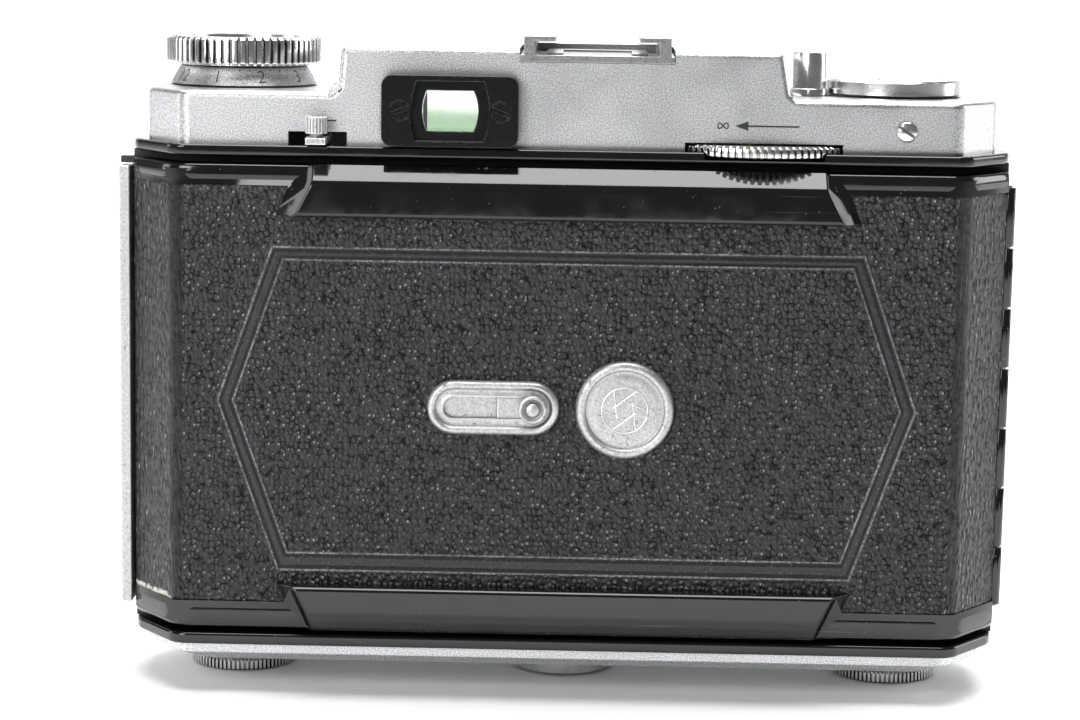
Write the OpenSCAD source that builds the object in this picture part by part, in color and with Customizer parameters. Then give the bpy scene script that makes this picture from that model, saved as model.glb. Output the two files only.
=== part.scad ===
// Folding roll-film camera, closed. Millimetres, +Z up, lens side towards +Y.
// The origin is the mouth of the tripod thread, on the plane that the camera stands on.

/* [Body] */
// Half width of the body at its flanges
body_half_w = 67.5; // [66:0.5:69]
// Rear face of the back door
rear_y = -22; // [-23:0.5:-21.5]
// Front face of the body
front_y = 14; // [13.8:0.1:14.5]
// Top of the black upper flange
flange_top = 85.3; // [85:0.1:86]
// Top of the chrome shoulders
shoulder_top = 93.2; // [93:0.1:93.3]
// Top of the raised finder block
block_top = 100.2; // [99.5:0.1:101]

/* [Film] */
// Distance of each spool axis from the middle
spool_x = 51.8; // [51.5:0.1:52]
// Radius of a spool flange
spool_flange_r = 12.5; // [12:0.1:12.6]
// Radius of the film knobs under the body
spool_knob_r = 8.3; // [7.5:0.1:8.5]
// Side of the square picture
frame_size = 56; // [54:1:58]
// Rear face of the film gate
film_y = -13; // [-13.2:0.1:-12.8]

/* [Lens and front] */
// Height of the optical axis
axis_z = 46.5; // [46:0.1:47]
// Radius of the shutter housing
shutter_r = 20; // [18:0.5:20]
// Radius of the front lens barrel
barrel_r = 15; // [14:0.5:15]
// How far the front standard runs out
standard_travel = 52; // [50:0.5:52]

/* [Controls] */
// Radius of the wind knob
wind_knob_r = 12.15; // [11:0.05:12.5]
// Teeth on the thumb wheel
wheel_teeth = 90; // [80:1:100]
// Teeth on the distance dial's pinion
pinion_teeth = 33; // [30:1:36]

/* [Hidden] */
$fn = 64;
eps = 0.05;

// Levels of the body
base_top = 7.85;
flange_low_top = 9.7;
flange_low = flange_top - 1.7;
plate_edge = 6.2;
plate_low = 4.85;
chamber_low = 12.6;
chamber_high = 81.2;
chamber_r = spool_flange_r + 0.4;

// Plan outline: flat rear and front, with corners cut on a 3-4-5 slope
corner_x = 7.5;
corner_y = 10;
corner_norm_x = 0.8;
corner_norm_y = 0.6;

// Back door and its hinge
door_low = 10.5;
door_high = 82.5;
door_edge_y = -11.3;
band_low = 14.8;
band_high = 79.2;
skin = 0.4;
door_wall = 1.2;
ridge_y = rear_y - 3;
ridge_wide = 43.5;
ridge_narrow = 39.5;
upper_ridge = [74.7, 79.9];
lower_ridge = [13.2, 17.9];
hinge_x = body_half_w + 0.2;
hinge_y = -10.6;
hinge_low = 14;
hinge_high = 80;
hinge_knuckles = 7;
hinge_pitch = (hinge_high - hinge_low) / hinge_knuckles;
knuckle_gap = 0.3;
knuckle_len = hinge_pitch - knuckle_gap;
hinge_r = 1.1;
hinge_pin_r = 0.6;

// Film window in the back door
window_z = 45.9;
window_mid_x = -11.05;
window_half_w = 10.1;
window_half_h = 4.15;
red_x = -7;
slider_x = -5;
medal_x = 9;

// Top housing
housing_inset = 2.2;
housing_wall = 1;
housing_rear = rear_y + housing_inset;
housing_front = front_y - housing_inset;
block_left = -35.3;
block_right = 33.2;
eye_x = -18.1;
eye_z = 90.85;
shoe_x = 3.9;
shoe_floor = block_top - 0.8;
shoe_y0 = housing_rear - 0.2;
shoe_y1 = -2.3;
range_window_x = 15;
window_front_z = 92;
bed_button_x = 4;
bed_button_z = 88.4;

// Controls on the top
release_x = 36.8;
release_y = -6;
dial_x = 50.1;
dial_y = -2.4;
dial_r = 10.6;
wheel_x = 29.3;
wheel_y = -8.3;
wheel_low = 84.5;
wheel_high = 86.3;
gear_line = [dial_x - wheel_x, dial_y - wheel_y];
gear_angle = atan2(gear_line[1], gear_line[0]);
tooth_module = 2 * norm(gear_line) / (wheel_teeth + pinion_teeth);
wheel_pitch_r = tooth_module * wheel_teeth / 2;
pinion_pitch_r = tooth_module * pinion_teeth / 2;
cam_r = 5.5;
arm_x = 16.5;
arm_y = 5.8;
arm_tip_x = 23.3;
arm_tip_y = -4.1;
lever_x = -38.2;
lever_y = -22.4;

// Front bed and its hinge
bed_half_w = 40.5;
bed_wall = 1.3;
bed_hinge_y = 22;
bed_hinge_z = 12.5;
bed_top = 81.5;
bed_inner_y = 23;
bed_outer_y = 24.1;
well_half_w = 37.5;
well_high = 80.9;
well_low = 13;

// Struts that carry the front standard
strut_len = 44;
strut_pivot = [17, 70];
strut_rest_drop = 15;
strut_a0 = -asin(strut_rest_drop / strut_len);
strut_a1 = asin((standard_travel - strut_rest_drop) / strut_len);
strut_x0 = 34;
strut_x1 = 35.2;
strut_pin_r = 1;
ear_x0 = 32.3;
ear_x1 = 33.5;
slot_steps = 24;
slot_half = strut_pin_r + 0.16;

// Plan outline moved inwards by i on every side.
function inset_rear_x(i) = body_half_w - corner_x - i * (1 - corner_norm_y) / corner_norm_x;
function inset_side_y(i) = i * (1 - corner_norm_x) / corner_norm_y;
function half_outline(i) = [
    [inset_rear_x(i), rear_y + i],
    [body_half_w - i, rear_y + corner_y + inset_side_y(i)],
    [body_half_w - i, front_y - corner_y - inset_side_y(i)],
    [inset_rear_x(i), front_y - i]
];
function flipped(points) = [for (k = [len(points) - 1 : -1 : 0]) [-points[k][0], points[k][1]]];
function outline(i) = concat(half_outline(i), flipped(half_outline(i)));

// Points of an arc, and outlines with round corners or round ends.
function arc(x, y, r, a0, a1, n) =
    [for (k = [0:n]) [x + r * cos(a0 + (a1 - a0) * k / n), y + r * sin(a0 + (a1 - a0) * k / n)]];
function round_box(hw, hh, r) = concat(
    arc(hw - r, hh - r, r, 0, 90, 6), arc(r - hw, hh - r, r, 90, 180, 6),
    arc(r - hw, r - hh, r, 180, 270, 6), arc(hw - r, r - hh, r, 270, 360, 6));
function stadium(hw, hh) =
    concat(arc(hw - hh, 0, hh, -90, 90, 16), arc(hh - hw, 0, hh, 90, 270, 16));
function barrel_window(hw, hh, bulge) = concat(
    [for (k = [-6:6]) [hw - bulge * pow(k / 6, 2), hh * k / 6]],
    [for (k = [6:-1:-6]) [bulge * pow(k / 6, 2) - hw, hh * k / 6]]);

// Outline of a toothed wheel. root_share and tip_share are parts of one tooth step.
function tooth(a, step, tip_r, root_r, root_share, tip_share) = [
    root_r * [cos(a - root_share * step), sin(a - root_share * step)],
    tip_r * [cos(a - tip_share * step), sin(a - tip_share * step)],
    tip_r * [cos(a + tip_share * step), sin(a + tip_share * step)],
    root_r * [cos(a + root_share * step), sin(a + root_share * step)]
];
function toothed(n, tip_r, root_r, root_share, tip_share, phase = 0) =
    [for (k = [0:n - 1])
        for (p = tooth(phase + 360 * k / n, 360 / n, tip_r, root_r, root_share, tip_share)) p];

// Path of a strut's end pin, seen from the front standard, as it runs out by share t.
function strut_angle(t) = strut_a0 + (strut_a1 - strut_a0) * t;
function pin_path(t) = [
    strut_pivot[0] + strut_len * sin(strut_angle(t)) - standard_travel * t,
    strut_pivot[1] - strut_len * cos(strut_angle(t))
];

// Low end of hinge knuckle k.
function knuckle_low(k) = hinge_low + k * hinge_pitch + knuckle_gap / 2;

// Edge of the slot that the pin runs in: side is 1 on the outside of the path's hook and -1 inside it.
function pin_way(t) = pin_path(t + 0.01) - pin_path(t - 0.01);
function way_angle(t) = atan2(pin_way(t)[1], pin_way(t)[0]);
function slot_edge(t, side) =
    pin_path(t) + side * slot_half * [pin_way(t)[1], -pin_way(t)[0]] / norm(pin_way(t));

module box(x0, x1, y0, y1, z0, z1) translate([x0, y0, z0]) cube([x1 - x0, y1 - y0, z1 - z0]);

module rod_z(x, y, r, z0, z1) translate([x, y, z0]) cylinder(r = r, h = z1 - z0);

module rod_y(x, z, r, y0, y1) translate([x, y0, z]) rotate([-90, 0, 0]) cylinder(r = r, h = y1 - y0);

module rod_x(y, z, r, x0, x1) translate([x0, y, z]) rotate([0, 90, 0]) cylinder(r = r, h = x1 - x0);

module plate_z(points, z0, z1) translate([0, 0, z0]) linear_extrude(z1 - z0) polygon(points);

// An outline given in x and z, extruded from y0 to y1.
module plate_y(points, y0, y1, x = 0, z = 0)
    translate([x, y1, z]) rotate([90, 0, 0]) linear_extrude(y1 - y0) polygon(points);

// An outline given in y and z, extruded from x0 to x1.
module plate_x(points, x0, x1)
    translate([x0, 0, 0]) rotate([90, 0, 90]) linear_extrude(x1 - x0) polygon(points);

module both_sides() {
    children();
    mirror([1, 0, 0]) children();
}

// A slotted cheese-head screw along -Y, its head's underside at y.
module screw_y(x, z, head_r, shank_r, y, shank_len, slot_turn) difference() {
    union() {
        rod_y(x, z, head_r, y - 0.6, y);
        rod_y(x, z, shank_r, y - eps, y + shank_len);
    }
    translate([x, y - 0.6, z]) rotate([0, slot_turn, 0]) cube([head_r * 3, 0.6, 0.45], center = true);
}

// The shell between two inset outlines, from z0 to z1.
module outline_shell(outer, inner, z0, z1) difference() {
    plate_z(outline(outer), z0, z1);
    plate_z(outline(inner), z0 - 1, z1 + 1);
}

// The trapezoids, seen from the rear, that the two ridges fill.
module ridge_area(grow = 0) {
    wide = ridge_wide + grow;
    narrow = ridge_narrow + grow;
    upper = upper_ridge[0] - grow;
    lower = lower_ridge[1] + grow;
    plate_y([[-wide, upper], [wide, upper], [narrow, door_high], [-narrow, door_high]],
        ridge_y - 1, rear_y + 3);
    plate_y([[-narrow, door_low], [narrow, door_low], [wide, lower], [-wide, lower]],
        ridge_y - 1, rear_y + 3);
}

module hinge_groove() rod_z(hinge_x, hinge_y, hinge_r + 0.3, hinge_low - 0.5, hinge_high + 0.5);

module hinge_knuckle_set(first)
    for (k = [first : 2 : hinge_knuckles - 1])
        rod_z(hinge_x, hinge_y, hinge_r, knuckle_low(k), knuckle_low(k) + knuckle_len);

// Lugs that join the door's knuckles to its edge wall.
module door_lugs(grow = 0)
    for (k = [1 : 2 : hinge_knuckles - 1])
        plate_z([[hinge_x - 2.4 - grow, -12.6 - grow], [hinge_x - 1.4 + grow / 2, -12.6 - grow],
                 [hinge_x - 0.5 + grow, -11.6 - grow / 2], [hinge_x - 0.8, -10.9 + grow],
                 [hinge_x - 1.2, -11.05 + grow], [hinge_x - 2.4 - grow, -11.35 + grow]],
            knuckle_low(k) - grow, knuckle_low(k) + knuckle_len + grow);

module strut_lug() {
    rod_x(strut_pivot[0], strut_pivot[1], 2.5, strut_x1 + 0.4, well_half_w);
    box(strut_x1 + 0.4, well_half_w, 12.6, strut_pivot[0], strut_pivot[1] - 2.5, strut_pivot[1] + 2.5);
    box(well_half_w - 1.9, well_half_w + 1, 9, 14, strut_pivot[1] - 2.5, strut_pivot[1] + 2.5);
    rod_x(strut_pivot[0], strut_pivot[1], strut_pin_r, strut_x0 - 0.3, strut_x1 + 0.5);
}

// Die-cast frame: two spool chambers, a light partition with its window, and the bed's hinge lip.
module body_casting() color("dimgray") difference() {
    union() {
        difference() {
            intersection() {
                plate_z(outline(0), flange_low_top, flange_low);
                box(-80, 80, door_edge_y + 0.3, 30, 0, 100);
            }
            both_sides() {
                rod_z(spool_x, 0, chamber_r, chamber_low, chamber_high);
                box(spool_x - chamber_r, spool_x + chamber_r, -30, 0, chamber_low, chamber_high);
            }
            box(-well_half_w, well_half_w, -30, 12.5, chamber_low, chamber_high);
            box(-well_half_w, well_half_w, 12, 20, well_low, well_high);
        }
        difference() {
            box(-38, 38, -9.6, -8.2, chamber_low - 1, chamber_high + 1);
            box(-29, 29, -12, -6, axis_z - 29, axis_z + 29);
        }
        both_sides() {
            box(35.6, 38, -16.5, -8.5, 12.8, 15.5);
            box(35.6, 38, -16.5, -8.5, 77.5, 80.7);
            strut_lug();
        }
        box(-36, 36, 13, 19.8, flange_low_top, 12);
        for (x = [-30, -10, 10, 30]) {
            rod_x(bed_hinge_y, bed_hinge_z, 1.8, x - 5, x + 5);
            box(x - 5, x + 5, 19, bed_hinge_y, flange_low_top + 0.35, 12);
        }
        rod_z(spool_x, 0, 2.2, 79.2, 82);
        for (z = [26, 68]) rod_x(-4.5, z, 1.2, -69.8, -66);
        box(-69.6, -66, -10.9, -9.1, 81.4, 82.4);
    }
    rod_x(bed_hinge_y, bed_hinge_z, 0.93, -50, 50);
    hinge_groove();
    both_sides() rod_z(spool_x, 0, 2.55, 5, chamber_low + 1);
    rod_z(-spool_x, 0, 2.55, 80, 90);
}

module front_leather() color("black") difference() {
    intersection() {
        outline_shell(-skin, 0, 11.5, 82.5);
        union() {
            box(41.2, 80, -2.6, 30, 0, 100);
            box(-80, -41.2, -9, 30, 0, 100);
        }
    }
    for (z = [26, 68]) rod_x(-4.5, z, 1.3, -72, -66);
}

module upper_flange() color("black") {
    difference() {
        plate_z(outline(0), flange_low, flange_top);
        rod_z(wheel_x, wheel_y, wheel_pitch_r + 0.6, wheel_low - 0.4, flange_top + 1);
        rod_z(dial_x, dial_y, pinion_pitch_r + 0.6, wheel_low - 0.4, flange_top + 1);
        rod_z(dial_x, dial_y, 1.55, flange_low - 1, flange_top);
        rod_z(-spool_x, 0, 3, flange_low - 1, flange_top + 1);
    }
    rod_z(wheel_x, wheel_y, 2, flange_low + 0.2, 90);
    rod_z(arm_x, arm_y, 1.2, flange_top - 0.5, 98);
}

module lower_flange() color("black") difference() {
    plate_z(outline(0), base_top, flange_low_top);
    both_sides() rod_z(spool_x, 0, 3, base_top - 1, flange_low_top + 1);
    rod_z(0, 0, 6.32, base_top - 1, flange_low_top + 1);
}

module bottom_plate() color("silver") difference() {
    union() {
        plate_z(outline(1.8), plate_edge, base_top);
        hull() {
            plate_z(outline(1.8), plate_edge, plate_edge + 0.1);
            plate_z([[-59.5, -11], [-54, -18.5], [54, -18.5], [59.5, -11],
                     [59.5, 3], [54, 10.5], [-54, 10.5], [-59.5, 3]], plate_low, plate_low + 0.1);
        }
        both_sides() rod_z(spool_x, 0, 6.5, 2.3, 5.5);
    }
    both_sides() rod_z(spool_x, 0, 3, 0, base_top + 1);
    rod_z(0, 0, 6.32, 0, base_top + 1);
}

module tripod_socket() color("gainsboro") difference() {
    rod_z(0, 0, 6.3, 0, flange_low_top);
    rod_z(0, 0, 3.175, -1, 6.5);
}

module tripod_collar() color("gainsboro") difference() {
    rod_z(0, 0, 7.8, 0.5, plate_low);
    rod_z(0, 0, 6.32, 0, 5);
}

// Chrome shell with low shoulders and a raised finder block.
module housing_form(grow) {
    plate_z(outline(housing_inset + grow), flange_top - (grow > 0 ? 1 : 0), shoulder_top - grow);
    intersection() {
        plate_z(outline(housing_inset + grow), shoulder_top - 4, block_top + 1);
        plate_y([[block_left + grow, 80], [block_right - grow, 80],
                 [block_right - grow, shoulder_top], [block_right - 1.2 - grow, block_top - grow],
                 [block_left + 0.6 + grow, block_top - grow], [block_left + grow, shoulder_top]], -40, 40);
    }
}

module top_housing() color("lightgray") difference() {
    housing_form(0);
    housing_form(housing_wall);
    rod_z(-spool_x, 0, 3, 90, 95);
    box(-42.7, -33.8, -25, -18, flange_top - 1, 87.3);
    box(wheel_x - 12, wheel_x + 11.9, -25, -18, flange_top - 1, wheel_high + 0.3);
    rod_z(wheel_x, wheel_y, wheel_pitch_r + 0.6, flange_top - 1, wheel_high + 0.3);
    plate_y(round_box(5, 4, 1), -25, -18, eye_x, eye_z);
    for (x = [-7.6, 7.6]) rod_y(eye_x + x, eye_z, 0.82, -25, -18);
    rod_y(50.7, 88.7, 0.82, -25, -18);
    for (x = [-50, 50]) rod_y(x, 88.7, 0.82, 10, 15);
    rod_z(release_x, release_y, 2.92, 90, 95);
    rod_z(dial_x, dial_y, 1.55, 90, 95);
    plate_y(round_box(7, 4, 0.8), 10, 15, eye_x, window_front_z);
    plate_y(round_box(3.5, 3, 0.8), 10, 15, range_window_x, window_front_z);
    rod_y(bed_button_x, bed_button_z, 2.25, 10, 15);
    box(shoe_x - 11.75, shoe_x + 11.75, -30, shoe_y1, block_top - 1.95, block_top + 1);
}

module accessory_shoe() color("silver") {
    box(shoe_x - 11.7, shoe_x + 11.7, shoe_y0, shoe_y1 - eps, block_top - 1.9, shoe_floor);
    for (side = [-1, 1]) translate([shoe_x, 0, 0]) scale([side, 1, 1]) {
        box(9.3, 11.1, shoe_y0, shoe_y1 - eps, shoe_floor - eps, shoe_floor + 2.8);
        box(6.35, 11.1, shoe_y0, shoe_y1 - eps, shoe_floor + 2, shoe_floor + 2.8);
    }
    box(shoe_x - 11.1, shoe_x + 11.1, shoe_y1 - 1.2, shoe_y1 - eps, shoe_floor - eps, shoe_floor + 1.2);
}

module shoe_spring() color("gray") {
    for (x = [-7.6, 5.2])
        box(shoe_x + x, shoe_x + x + 2.4, shoe_y0 + 1, shoe_y1 - 1.4, shoe_floor, shoe_floor + 0.35);
    box(shoe_x - 7.6, shoe_x + 7.6, shoe_y1 - 4, shoe_y1 - 1.4, shoe_floor, shoe_floor + 0.35);
}

module eyepiece_plate() color("black") difference() {
    plate_y(round_box(10.3, 5.35, 1.6), -23.3, housing_rear, eye_x, eye_z);
    plate_y(barrel_window(5.9, 4.5, 0.8), -24, -22.1, eye_x, eye_z);
    plate_y(barrel_window(4.25, 3.1, 0.7), -24, -19, eye_x, eye_z);
    for (x = [-7.6, 7.6]) {
        rod_y(eye_x + x, eye_z, 1.55, -24, -22.7);
        rod_y(eye_x + x, eye_z, 0.82, -24, -19);
    }
}

module eyepiece_lens() color("palegreen")
    plate_y(barrel_window(4.2, 3.05, 0.7), -22, -20.4, eye_x, eye_z);

module eyepiece_screws() color("black")
    for (x = [-7.6, 7.6]) screw_y(eye_x + x, eye_z, 1.5, 0.8, -22.7, 3.2, 20 * sign(x));

module housing_screws() color("silver") {
    screw_y(50.7, 88.7, 1.55, 0.8, housing_rear, 2.2, -35);
    for (x = [-50, 50]) rotate([0, 0, 180]) screw_y(x, 88.7, 1.55, 0.8, -housing_front, 2.2, 15);
}

module window_frame(x, hw, hh) difference() {
    plate_y(round_box(hw + 2, hh + 1.6, 1.4), housing_front, housing_front + 1.3, x, window_front_z);
    plate_y(round_box(hw, hh, 0.8), housing_front - 1, housing_front + 2, x, window_front_z);
}

module finder_frame() color("black") window_frame(eye_x, 7, 4);

module rangefinder_frame() color("black") window_frame(range_window_x, 3.5, 3);

module front_windows() color("lightcyan") {
    plate_y(round_box(6.95, 3.95, 0.8), housing_front - 0.6, housing_front + 0.6, eye_x, window_front_z);
    plate_y(round_box(3.45, 2.95, 0.8), housing_front - 0.6, housing_front + 0.6,
        range_window_x, window_front_z);
}

module beam_splitter() color("lightcyan")
    translate([eye_x, -3, 0]) rotate([0, 0, 45]) box(-6.5, 6.5, -0.5, 0.5, flange_top, 96);

module release_collar() color("silver") difference() {
    rod_z(release_x, release_y, 2.9, 88.6, 94.4);
    rod_z(release_x, release_y, 2.66, 90, 95);
    rod_z(release_x, release_y, 1.56, 88, 91);
}

module release_button() color("gainsboro") difference() {
    union() {
        rod_z(release_x, release_y, 2.6, 94.2, 100);
        rod_z(release_x, release_y, 1.5, 89.7, 94.3);
    }
    rod_z(release_x, release_y, 1.55, 95.5, 101);
}

// A coil spring standing on z = z0: six-sided wire swept along a helix.
module coil(x, y, r, wire_r, z0, height, turns) {
    steps = turns * 16;
    rise = (height - 2 * wire_r) / steps;
    points = [for (k = [0:steps]) for (j = [0:5])
        let (a = k * 360 / 16, w = r + wire_r * cos(j * 60))
        [w * cos(a), w * sin(a), wire_r + k * rise + wire_r * sin(j * 60)]];
    sides = [for (k = [0:steps - 1]) for (j = [0:5])
        [k * 6 + j, k * 6 + (j + 1) % 6, (k + 1) * 6 + (j + 1) % 6, (k + 1) * 6 + j]];
    ends = [[for (j = [5:-1:0]) j], [for (j = [0:5]) steps * 6 + j]];
    faces = [for (f = concat(sides, ends)) [for (i = [len(f) - 1:-1:0]) f[i]]];
    translate([x, y, z0]) polyhedron(points, faces);
}

module release_spring() color("gray") coil(release_x, release_y, 2.1, 0.25, 90.05, 4.1, 4);

module wind_knob() color("silver") difference() {
    translate([-spool_x, 0, 0])
        plate_z(toothed(60, wind_knob_r, wind_knob_r - 0.55, 0.36, 0.27), 96.5, 100.9);
    rod_z(-spool_x, 0, 9.2, 100.2, 102);
    rod_z(-spool_x, 0, 2.5, 96, 99.5);
}

module wind_shaft() color("gray") {
    rod_z(-spool_x, 0, 2.5, 81, 99.5);
    rod_z(-spool_x, 0, 2.2, 77, 81.1);
    box(-spool_x - 3.4, -spool_x + 3.4, -0.5, 0.5, 79, 80.8);
}

module take_up_spool() color("firebrick") difference() {
    union() {
        rod_z(-spool_x, 0, 4.6, 14, 79.9);
        for (z = [14, 78.9]) rod_z(-spool_x, 0, spool_flange_r, z, z + 1);
    }
    rod_z(-spool_x, 0, 2.45, 13, 20);
    rod_z(-spool_x, 0, 2.25, 74, 81);
    box(-spool_x - 3.5, -spool_x + 3.5, -0.6, 0.6, 78.4, 81);
    box(-spool_x - 6, -spool_x + 6, -0.6, 0.6, 22, 72);
}

module counter_dial() color("gainsboro") difference() {
    translate([-spool_x, 0, 93.5]) cylinder(r1 = 11.45, r2 = 9.95, h = 2.7);
    rod_z(-spool_x, 0, 2.55, 90, 100);
}

module focus_wheel() color("silver") difference() {
    translate([wheel_x, wheel_y, 0])
        plate_z(toothed(wheel_teeth, wheel_pitch_r + 0.2, wheel_pitch_r - 0.25, 0.25, 0.13, gear_angle),
            wheel_low, wheel_high);
    rod_z(wheel_x, wheel_y, 2.05, 80, 90);
}

module focus_cam() color("goldenrod") difference() {
    union() {
        rod_z(wheel_x + 0.2, wheel_y, cam_r, wheel_high, 87.9);
        rod_z(wheel_x, wheel_y, 3.4, 87.8, 89.5);
    }
    rod_z(wheel_x, wheel_y, 2.05, 80, 95);
}

module distance_dial() color("gainsboro") {
    rod_z(dial_x, dial_y, dial_r, 93.5, 95.9);
    rod_z(dial_x, dial_y, 1.5, 83.95, 93.6);
    translate([dial_x, dial_y, 0])
        plate_z(toothed(pinion_teeth, pinion_pitch_r + 0.2, pinion_pitch_r - 0.25, 0.25, 0.13,
            gear_angle + 180 + 180 / pinion_teeth), wheel_low, wheel_high);
}

module rangefinder_arm() color("goldenrod") {
    reach = norm([arm_tip_x - arm_x, arm_tip_y - arm_y]);
    difference() {
        union() {
            rod_z(arm_x, arm_y, 2.2, 87, 97.5);
            translate([arm_x, arm_y, 0]) rotate([0, 0, atan2(arm_tip_y - arm_y, arm_tip_x - arm_x)])
                box(1.6, reach - 0.5, -0.8, 0.8, 87.1, 88.3);
            translate([arm_x, arm_y, 0]) rotate([0, 0, 45]) box(-4, 4, 1.6, 3, 88.9, 97);
        }
        rod_z(arm_x, arm_y, 1.25, 80, 100);
    }
    rod_z(arm_tip_x, arm_tip_y, 1, 87, 88.4);
}

module film_carriage() color("dimgray") difference() {
    half_frame = frame_size / 2;
    union() {
        box(-35.4, 35.4, film_y + 0.4, -10.2, 13.5, 79.5);
        for (x = [-half_frame - 2, half_frame + 0.6])
            box(x, x + 1.4, film_y, -12, axis_z - 31, axis_z + 31);
    }
    box(-half_frame, half_frame, -20, 0, axis_z - half_frame, axis_z + half_frame);
    both_sides() {
        box(30.4, 34.4, -20, 0, 16.2, 76.8);
        rod_z(32.4, -11.6, 0.85, 14.8, 78.2);
    }
}

module film_rollers() color("silver") both_sides() {
    rod_z(32.4, -11.6, 1.7, 16.5, 76.5);
    rod_z(32.4, -11.6, 0.8, 15, 78);
}

module pressure_plate() color("black") {
    box(-29.8, 29.8, -14.5, film_y - 0.4, axis_z - 30, axis_z + 30);
    both_sides() {
        box(8, 26, -15.2, -14.8, axis_z - 3, axis_z + 3);
        box(8, 11, -14.9, -14.4, axis_z - 3, axis_z + 3);
    }
    box(-29.4, -28.8, film_y - 0.5, film_y, axis_z - 30.9, axis_z - 29.5);
}

module advance_lock_lever() color("silver") {
    box(lever_x - 1.5, lever_x + 1.5, -24, -13, 85.6, 86.6);
    rod_z(lever_x, lever_y, 1, 86.5, 87.3);
    translate([lever_x, lever_y, 0]) plate_z(toothed(20, 1.65, 1.5, 0.3, 0.2), 87.2, 89.7);
}

module spool_knob(side) {
    translate([side * spool_x, 0, 0]) plate_z(toothed(72, spool_knob_r, spool_knob_r - 0.25, 0.34, 0.2), 0, 2);
    rod_z(side * spool_x, 0, 2.5, 1.9, 12.9);
    rod_z(side * spool_x, 0, 2.2, 12.8, 16.8);
}

module spool_knob_left() color("silver") spool_knob(-1);

module spool_knob_right() color("silver") spool_knob(1);

module ridge_profiles() {
    plate_x([[rear_y + 0.8, door_high], [rear_y - 0.2, door_high], [ridge_y, upper_ridge[1]],
             [ridge_y, upper_ridge[0] + 0.5], [ridge_y + 0.5, upper_ridge[0]],
             [rear_y + 0.8, upper_ridge[0]]], -60, 60);
    plate_x([[rear_y + 0.8, door_low], [rear_y - 0.2, door_low], [ridge_y, lower_ridge[0]],
             [ridge_y, lower_ridge[1] - 0.5], [ridge_y + 0.5, lower_ridge[1]],
             [rear_y + 0.8, lower_ridge[1]]], -60, 60);
}

// Pressed shell of the back, with an enamelled band and a raised ridge above and below the leather.
module back_door() color("black") difference() {
    union() {
        intersection() {
            difference() {
                union() {
                    plate_z(outline(skin), door_low, door_high);
                    plate_z(outline(0), door_low, band_low);
                    plate_z(outline(0), band_high, door_high);
                }
                plate_z(outline(skin + door_wall), door_low + door_wall, door_high - door_wall);
            }
            box(-80, 80, -40, door_edge_y, 0, 100);
        }
        intersection() {
            ridge_profiles();
            ridge_area();
        }
    }
    hinge_groove();
    door_lugs(0.05);
    rod_y(red_x, window_z, 2.1, -30, -15);
}

module door_leather() color("black") difference() {
    intersection() {
        outline_shell(0, skin, band_low, band_high);
        box(-80, 80, -40, door_edge_y - 0.1, 0, 100);
    }
    ridge_area(0.05);
    hinge_groove();
    rod_y(red_x, window_z, 2.1, -30, -15);
}

module window_plate() color("silver") difference() {
    plate_y(stadium(window_half_w, window_half_h), rear_y - 1.4, rear_y, window_mid_x, window_z);
    plate_y(stadium(window_half_w - 1.1, window_half_h - 1.1), rear_y - 2, rear_y - 1,
        window_mid_x, window_z);
    plate_y(stadium(7.6, 1.65), rear_y - 2, rear_y + 1, -11, window_z);
    box(-20.2, -1.9, rear_y - 0.55, rear_y + 1, window_z - 2.35, window_z + 2.35);
}

module red_window() color("crimson") rod_y(red_x, window_z, 2.05, rear_y + skin, rear_y + skin + 1.1);

module window_slider() color("silver") {
    box(-10.4, -2.4, rear_y - 0.45, rear_y - 0.1, window_z - 2.2, window_z + 2.2);
    rod_y(slider_x, window_z, 1.5, rear_y - 1.3, rear_y - 0.4);
    difference() {
        rod_y(slider_x, window_z, 2.2, rear_y - 2.4, rear_y - 1.15);
        rod_y(slider_x, window_z, 1.5, rear_y - 3, rear_y - 2);
    }
    rod_y(slider_x, window_z, 1, rear_y - 2.6, rear_y - 1.5);
}

module door_medallion() color("silver") difference() {
    rod_y(medal_x, window_z, 7.5, rear_y - 1.4, rear_y);
    rod_y(medal_x, window_z, 6, rear_y - 2, rear_y - 0.9);
}

module door_hinge_leaf() color("black") difference() {
    union() {
        hinge_knuckle_set(1);
        door_lugs();
    }
    rod_z(hinge_x, hinge_y, hinge_pin_r + 0.05, 0, 100);
}

module body_hinge_leaf() color("black") difference() {
    union() {
        hinge_knuckle_set(0);
        box(body_half_w, body_half_w + 0.6, -8.5, -3, hinge_low, hinge_high);
        for (k = [0 : 2 : hinge_knuckles - 1])
            box(body_half_w, body_half_w + 0.6, -10, -8, knuckle_low(k), knuckle_low(k) + knuckle_len);
    }
    rod_z(hinge_x, hinge_y, hinge_pin_r + 0.02, 0, 100);
}

module door_hinge_pin() color("gray")
    rod_z(hinge_x, hinge_y, hinge_pin_r, hinge_low - 0.2, hinge_high + 0.2);

module latch_plate() color("gainsboro") difference() {
    box(-69.8, -68.1, -12, 3, 12, 81);
    for (z = [26, 68]) box(-72, -66, -5.85, -3.15, z - 1.4, z + 4.4);
}

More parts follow.
